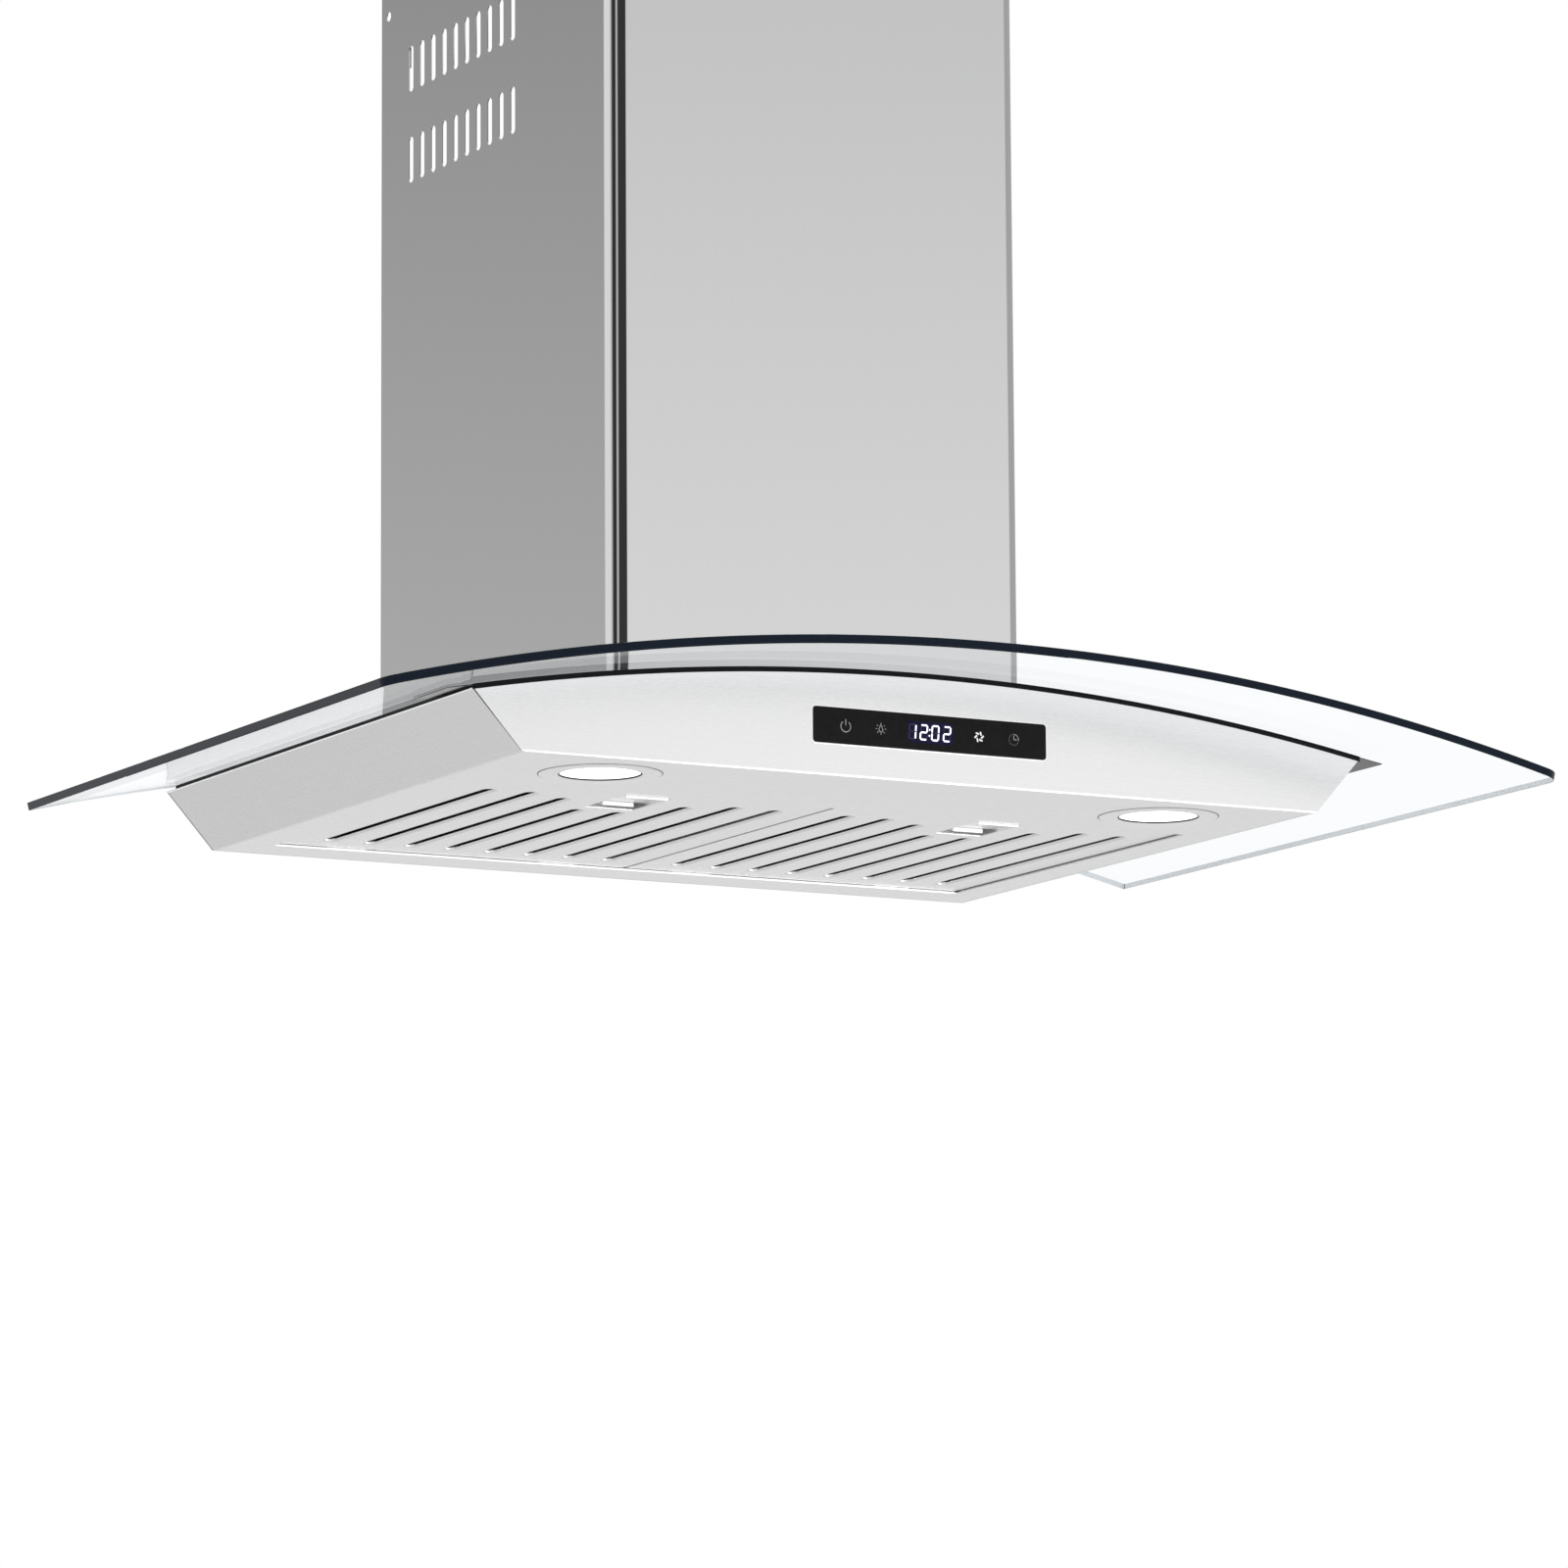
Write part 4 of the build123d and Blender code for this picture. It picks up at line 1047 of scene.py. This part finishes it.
# Key signs: power, light, timer and fan; a bar is its middle's distance from the centre, and its length
sign = {
    "radius": 3.1 * mm,
    "stroke": 0.42 * mm,
    "thin": 0.8,  # of the stroke
    "powerDrop": 0.2 * mm,
    "powerGap": (55, 125),  # degrees
    "powerBar": (2.1 * mm, 3.6 * mm),
    "bulbDrop": 0.5 * mm,
    "bulbRadius": 1.25 * mm,
    "bulbGap": (40, 140),
    "neckBar": (1.2 * mm, 2.0 * mm),
    "neckLean": 20,
    "capBar": (2.8 * mm, 1.2 * mm),
    "rays": (40, 0, 315, 270, 225, 180, 140),
    "rayPlace": 0.92,  # of the radius
    "rayLength": 0.9 * mm,
    "timerDots": 18,
    "minuteBar": (1.2 * mm, 2.4 * mm),
    "hourBar": (1.0 * mm, 2.0 * mm),
    "blades": 6,
    "bladeRadius": 2.15 * mm,
    "bladeSize": (2.4 * mm, 0.95 * mm),
    "bladeTurn": 42,
}


def gapRing(x, z, radius, width, gap):  # a ring with its gap at the top
    return [inkArc(x, z, radius, width, gap[1], 360), inkArc(x, z, radius, width, 0, gap[0])]


def makeSigns():
    level, radius, stroke = control["level"], sign["radius"], sign["stroke"]
    thin, upright = stroke * sign["thin"], math.pi / 2
    x = control["powerX"]
    ink = gapRing(x, level - sign["powerDrop"], radius, stroke, sign["powerGap"])
    lift, length = sign["powerBar"]
    ink.append(inkBar(x, level + lift, length, stroke, upright))
    x, bulb = control["bulbX"], sign["bulbRadius"]
    ink += gapRing(x, level - sign["bulbDrop"], bulb, thin, sign["bulbGap"])
    lift, length = sign["neckBar"]
    for side in (-1, 1):
        lean = math.radians(90 + side * sign["neckLean"])
        ink.append(inkBar(x + side * bulb / 2, level + lift, length, thin, lean))
    lift, length = sign["capBar"]
    ink.append(inkBar(x, level + lift, length, stroke, upright))
    far = radius * sign["rayPlace"]
    for degrees in sign["rays"]:
        ray = math.radians(degrees)
        place = (x + far * math.cos(ray), level + far * math.sin(ray))
        ink.append(inkBar(*place, sign["rayLength"], thin, ray))
    x = control["timerX"]
    ink += spokes(x, level, sign["timerDots"], radius, thin, thin)
    ink.append(inkArc(x, level, radius, thin, 0, 90))
    lift, length = sign["minuteBar"]
    ink.append(inkBar(x, level + lift, length, thin, upright))
    shift, length = sign["hourBar"]
    ink.append(inkBar(x + shift, level, length, thin, 0))
    finishPiece(joinAll("touchSigns", ink), keyInk, "hood", "control_glass")
    long, wide = sign["bladeSize"]
    turn = math.radians(sign["bladeTurn"])
    blades = spokes(control["fanX"], level, sign["blades"], sign["bladeRadius"], long, wide, turn)
    finishPiece(joinAll("fanSign", blades), fanInk, "hood", "control_glass")


def makeDisplay():
    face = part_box("control_glass")[0].y
    level = control["level"]
    wide, tall = control["displayHalf"]
    thin = control["inkLift"] * control["displayLift"]
    low, high = (-wide, face - thin, level - tall), (wide, face + thin, level + tall)
    window = roundedBlock("clockWindow", low, high, control["displayCorner"], 1)
    finishPiece(window, displayBlue, "hood", "control_glass")
    width, height = control["digitSize"]
    stroke, slant, lift = control["segment"], control["slant"], control["digitLift"]
    across, upright = width - control["segmentGap"], height / 2 - control["segmentGap"]
    places = {
        "a": (0, height / 2, across, 0), "g": (0, 0, across, 0), "d": (0, -height / 2, across, 0),
        "f": (-width / 2, height / 4, upright, 1), "b": (width / 2, height / 4, upright, 1),
        "e": (-width / 2, -height / 4, upright, 1), "c": (width / 2, -height / 4, upright, 1),
    }
    lit, dim = [], []
    for centre, digit in control["digitCells"]:
        for key, (x, z, length, standing) in places.items():
            angle = math.pi / 2 - slant if standing else 0
            bar = inkBar(centre * mm + x + z * slant, level + z, length, stroke, angle, lift)
            (lit if key in litSegments[digit] else dim).append(bar)
    x, apart = control["colon"]
    for z in (-apart, apart):
        lit.append(inkBar(x + z * slant, level + z, stroke, stroke, 0, lift))
    finishPiece(joinAll("clockDigits", lit), litSegment, "hood", "control_glass")
    finishPiece(joinAll("clockUnlit", dim), dimSegment, "hood", "control_glass")


def makeControl():
    low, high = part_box("control_glass")
    glass = roundedBlock("touchGlass", low, high, control["corner"], 1)
    soften(glass, control["edge"], 2, 60)
    finishPiece(glass, touchGlass, "hood", "control_glass", "control_glass")
    ring = Vector((control["bezel"], 0, control["bezel"]))
    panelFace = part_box("front_panel")[0].y
    outerLow, outerHigh = low - ring, high + ring
    outerLow.y, outerHigh.y = panelFace - control["bezelProud"], panelFace + control["bezelSink"]
    bezel = roundedBlock("controlBezel", outerLow, outerHigh, control["corner"] + control["bezel"], 1)
    over = Vector((0, mm, 0))
    cutAway(bezel, roundedBlock("bezelHole", low - over, high + over, control["corner"], 1))
    soften(bezel, control["bezelBevel"], 2, 60)
    finishPiece(bezel, brightSteel, "hood", "brushed_stainless")


makeControl()
makeDisplay()
makeSigns()
print("hood: touch control made")

# Camera at the photograph's viewing angle
view = {
    "place": (-2.10777, -4.17104, -0.69395),
    "yaw": 28.347,
    "pitch": 8.92,
    "roll": -0.357,
    "lens": 176.5,
    "sensor": 36,
}


def makeCamera():
    yaw, pitch, roll = (math.radians(view[key]) for key in ("yaw", "pitch", "roll"))
    ahead = Vector((math.sin(yaw) * math.cos(pitch), math.cos(yaw) * math.cos(pitch), math.sin(pitch)))
    level = Vector((math.cos(yaw), -math.sin(yaw), 0))
    upright = level.cross(ahead)
    right = math.cos(roll) * level + math.sin(roll) * upright
    up = -math.sin(roll) * level + math.cos(roll) * upright
    lens = bpy.data.cameras.new("camera")
    lens.lens = view["lens"]
    lens.sensor_width = view["sensor"]
    lens.sensor_fit = "HORIZONTAL"
    lens.clip_end = 100
    camera = bpy.data.objects.new("camera", lens)
    bpy.context.scene.collection.objects.link(camera)
    turn = Matrix((right, up, -ahead)).transposed()
    camera.matrix_world = Matrix.Translation(view["place"]) @ turn.to_4x4()
    bpy.context.scene.camera = camera


makeCamera()
print("hood: camera set")

# Studio: white surroundings, a pale floor, soft lamps and grey cards that only reflections see
studio = {
    "worldForDiffuse": 0.75,
    "floorLevel": -1.2,
    "floorSize": 9,
    "floorGrey": 0.85,
    "floorShade": 0.985,  # of the grey, where the floor's paint is darkest
    "cardDistance": 2.6,
    "cardSteps": 12,
}
# Each card's name, sides, first and last angle, foot, top, and tones at the foot and the top.
# Angles run from the wall's side (+y) round by the left (-1) or by the right (1).
cards = (
    ("wallCard", (-1, 1), 4, 44, 0.10, 1.90, 0.68, 0.22),
    ("darkCard", (-1,), 100, 130, 0.20, 1.90, 0.55, 0.55),
    ("greyCard", (-1,), 130, 143, 0.20, 1.90, 0.60, 0.60),
    ("frontCard", (-1,), 143, 195, 0.46, 1.90, 0.60, 0.60),
    ("frontLowCard", (-1,), 143, 187, 0.34, 0.46, 0.60, 0.60),
    ("softCard", (1,), 130, 168, 0.46, 1.90, 1.0, 0.58),
    ("edgeCard", (1,), 44, 130, 0.42, 1.90, 0.52, 0.52),
)
# Each lamp's name, place, size and power, and whether reflections show it
lights = (
    ("keyLamp", (-2.2, -2.6, 1.6), 1.6, 60, False),
    ("fillLamp", (2.4, -2.2, 1.2), 1.6, 36, False),
    ("lowLamp", (0.6, -0.9, -1.0), 0.9, 18, True),
)


def makeWorld():
    world = bpy.data.worlds.new("studio")
    bpy.context.scene.world = world
    world.use_nodes = True
    nodes, links = world.node_tree.nodes, world.node_tree.links
    background = nodes["Background"]
    path = nodes.new("ShaderNodeLightPath")
    seen = nodes.new("ShaderNodeMath")
    seen.operation = "MAXIMUM"
    links.new(path.outputs["Is Camera Ray"], seen.inputs[0])
    links.new(path.outputs["Is Glossy Ray"], seen.inputs[1])
    clear = nodes.new("ShaderNodeMath")
    clear.operation = "MAXIMUM"
    links.new(seen.outputs[0], clear.inputs[0])
    links.new(path.outputs["Is Transmission Ray"], clear.inputs[1])
    strength = nodes.new("ShaderNodeMapRange")
    strength.inputs["To Min"].default_value = studio["worldForDiffuse"]
    strength.inputs["To Max"].default_value = 1.0
    links.new(clear.outputs[0], strength.inputs["Value"])
    background.inputs["Color"].default_value = (1, 1, 1, 1)
    links.new(strength.outputs["Result"], background.inputs["Strength"])


def makeFloor():
    size = studio["floorSize"] / 2
    floor = addSheet("floor", -size, size, -size, size, studio["floorLevel"])
    material, nodes, links, shader = newMaterial("floorPaint")
    grain = objectNoise(nodes, links, 3)
    grey = studio["floorGrey"]
    colour = shadeOf(nodes, links, grain, [grey * studio["floorShade"]] * 3, [grey] * 3)
    links.new(colour, shader.inputs["Base Color"])
    shader.inputs["Roughness"].default_value = 0.9
    floor.data.materials.append(material)


def makeCard(name, sides, fromAngle, toAngle, low, high, lowTone, highTone):
    for side in sides:
        clearSelection()
        bpy.ops.mesh.primitive_grid_add(x_subdivisions=studio["cardSteps"], y_subdivisions=1, size=2)
        card = bpy.context.object
        card.name = name + ("Left" if side < 0 else "Right")

        def curved(co):
            angle = math.radians(fromAngle + (toAngle - fromAngle) * (co.x + 1) / 2)
            height = low + (high - low) * (co.y + 1) / 2
            far = studio["cardDistance"]
            return Vector((side * far * math.sin(angle), far * math.cos(angle), height))

        movePoints(card, curved)
        material, nodes, links, shader = newMaterial(card.name)
        place = nodes.new("ShaderNodeTexCoord")
        split = nodes.new("ShaderNodeSeparateXYZ")
        links.new(place.outputs["Object"], split.inputs["Vector"])
        tone = nodes.new("ShaderNodeMapRange")
        ends = (("From Min", low), ("From Max", high), ("To Min", lowTone), ("To Max", highTone))
        for socket, end in ends:
            tone.inputs[socket].default_value = end
        links.new(split.outputs["Z"], tone.inputs["Value"])
        light = nodes.new("ShaderNodeEmission")
        light.inputs["Color"].default_value = (1, 1, 1, 1)
        links.new(tone.outputs["Result"], light.inputs["Strength"])
        links.new(light.outputs["Emission"], nodes["Material Output"].inputs["Surface"])
        card.data.materials.append(material)
        for flag in ("visible_camera", "visible_diffuse", "visible_transmission", "visible_shadow"):
            setattr(card, flag, False)


def makeLamp(name, place, size, power, shows):
    light = bpy.data.lights.new(name, "AREA")
    light.energy = power
    light.size = size
    holder = bpy.data.objects.new(name, light)
    bpy.context.scene.collection.objects.link(holder)
    holder.location = place
    aim = (cadLow + cadHigh) / 2 - Vector(place)
    holder.rotation_euler = aim.to_track_quat("-Z", "Y").to_euler()
    holder.visible_glossy = shows
    holder.visible_transmission = False


makeWorld()
makeFloor()
for card in cards:
    makeCard(*card)
for light in lights:
    makeLamp(*light)
bpy.context.scene.view_settings.view_transform = "Standard"
print("hood: studio set")
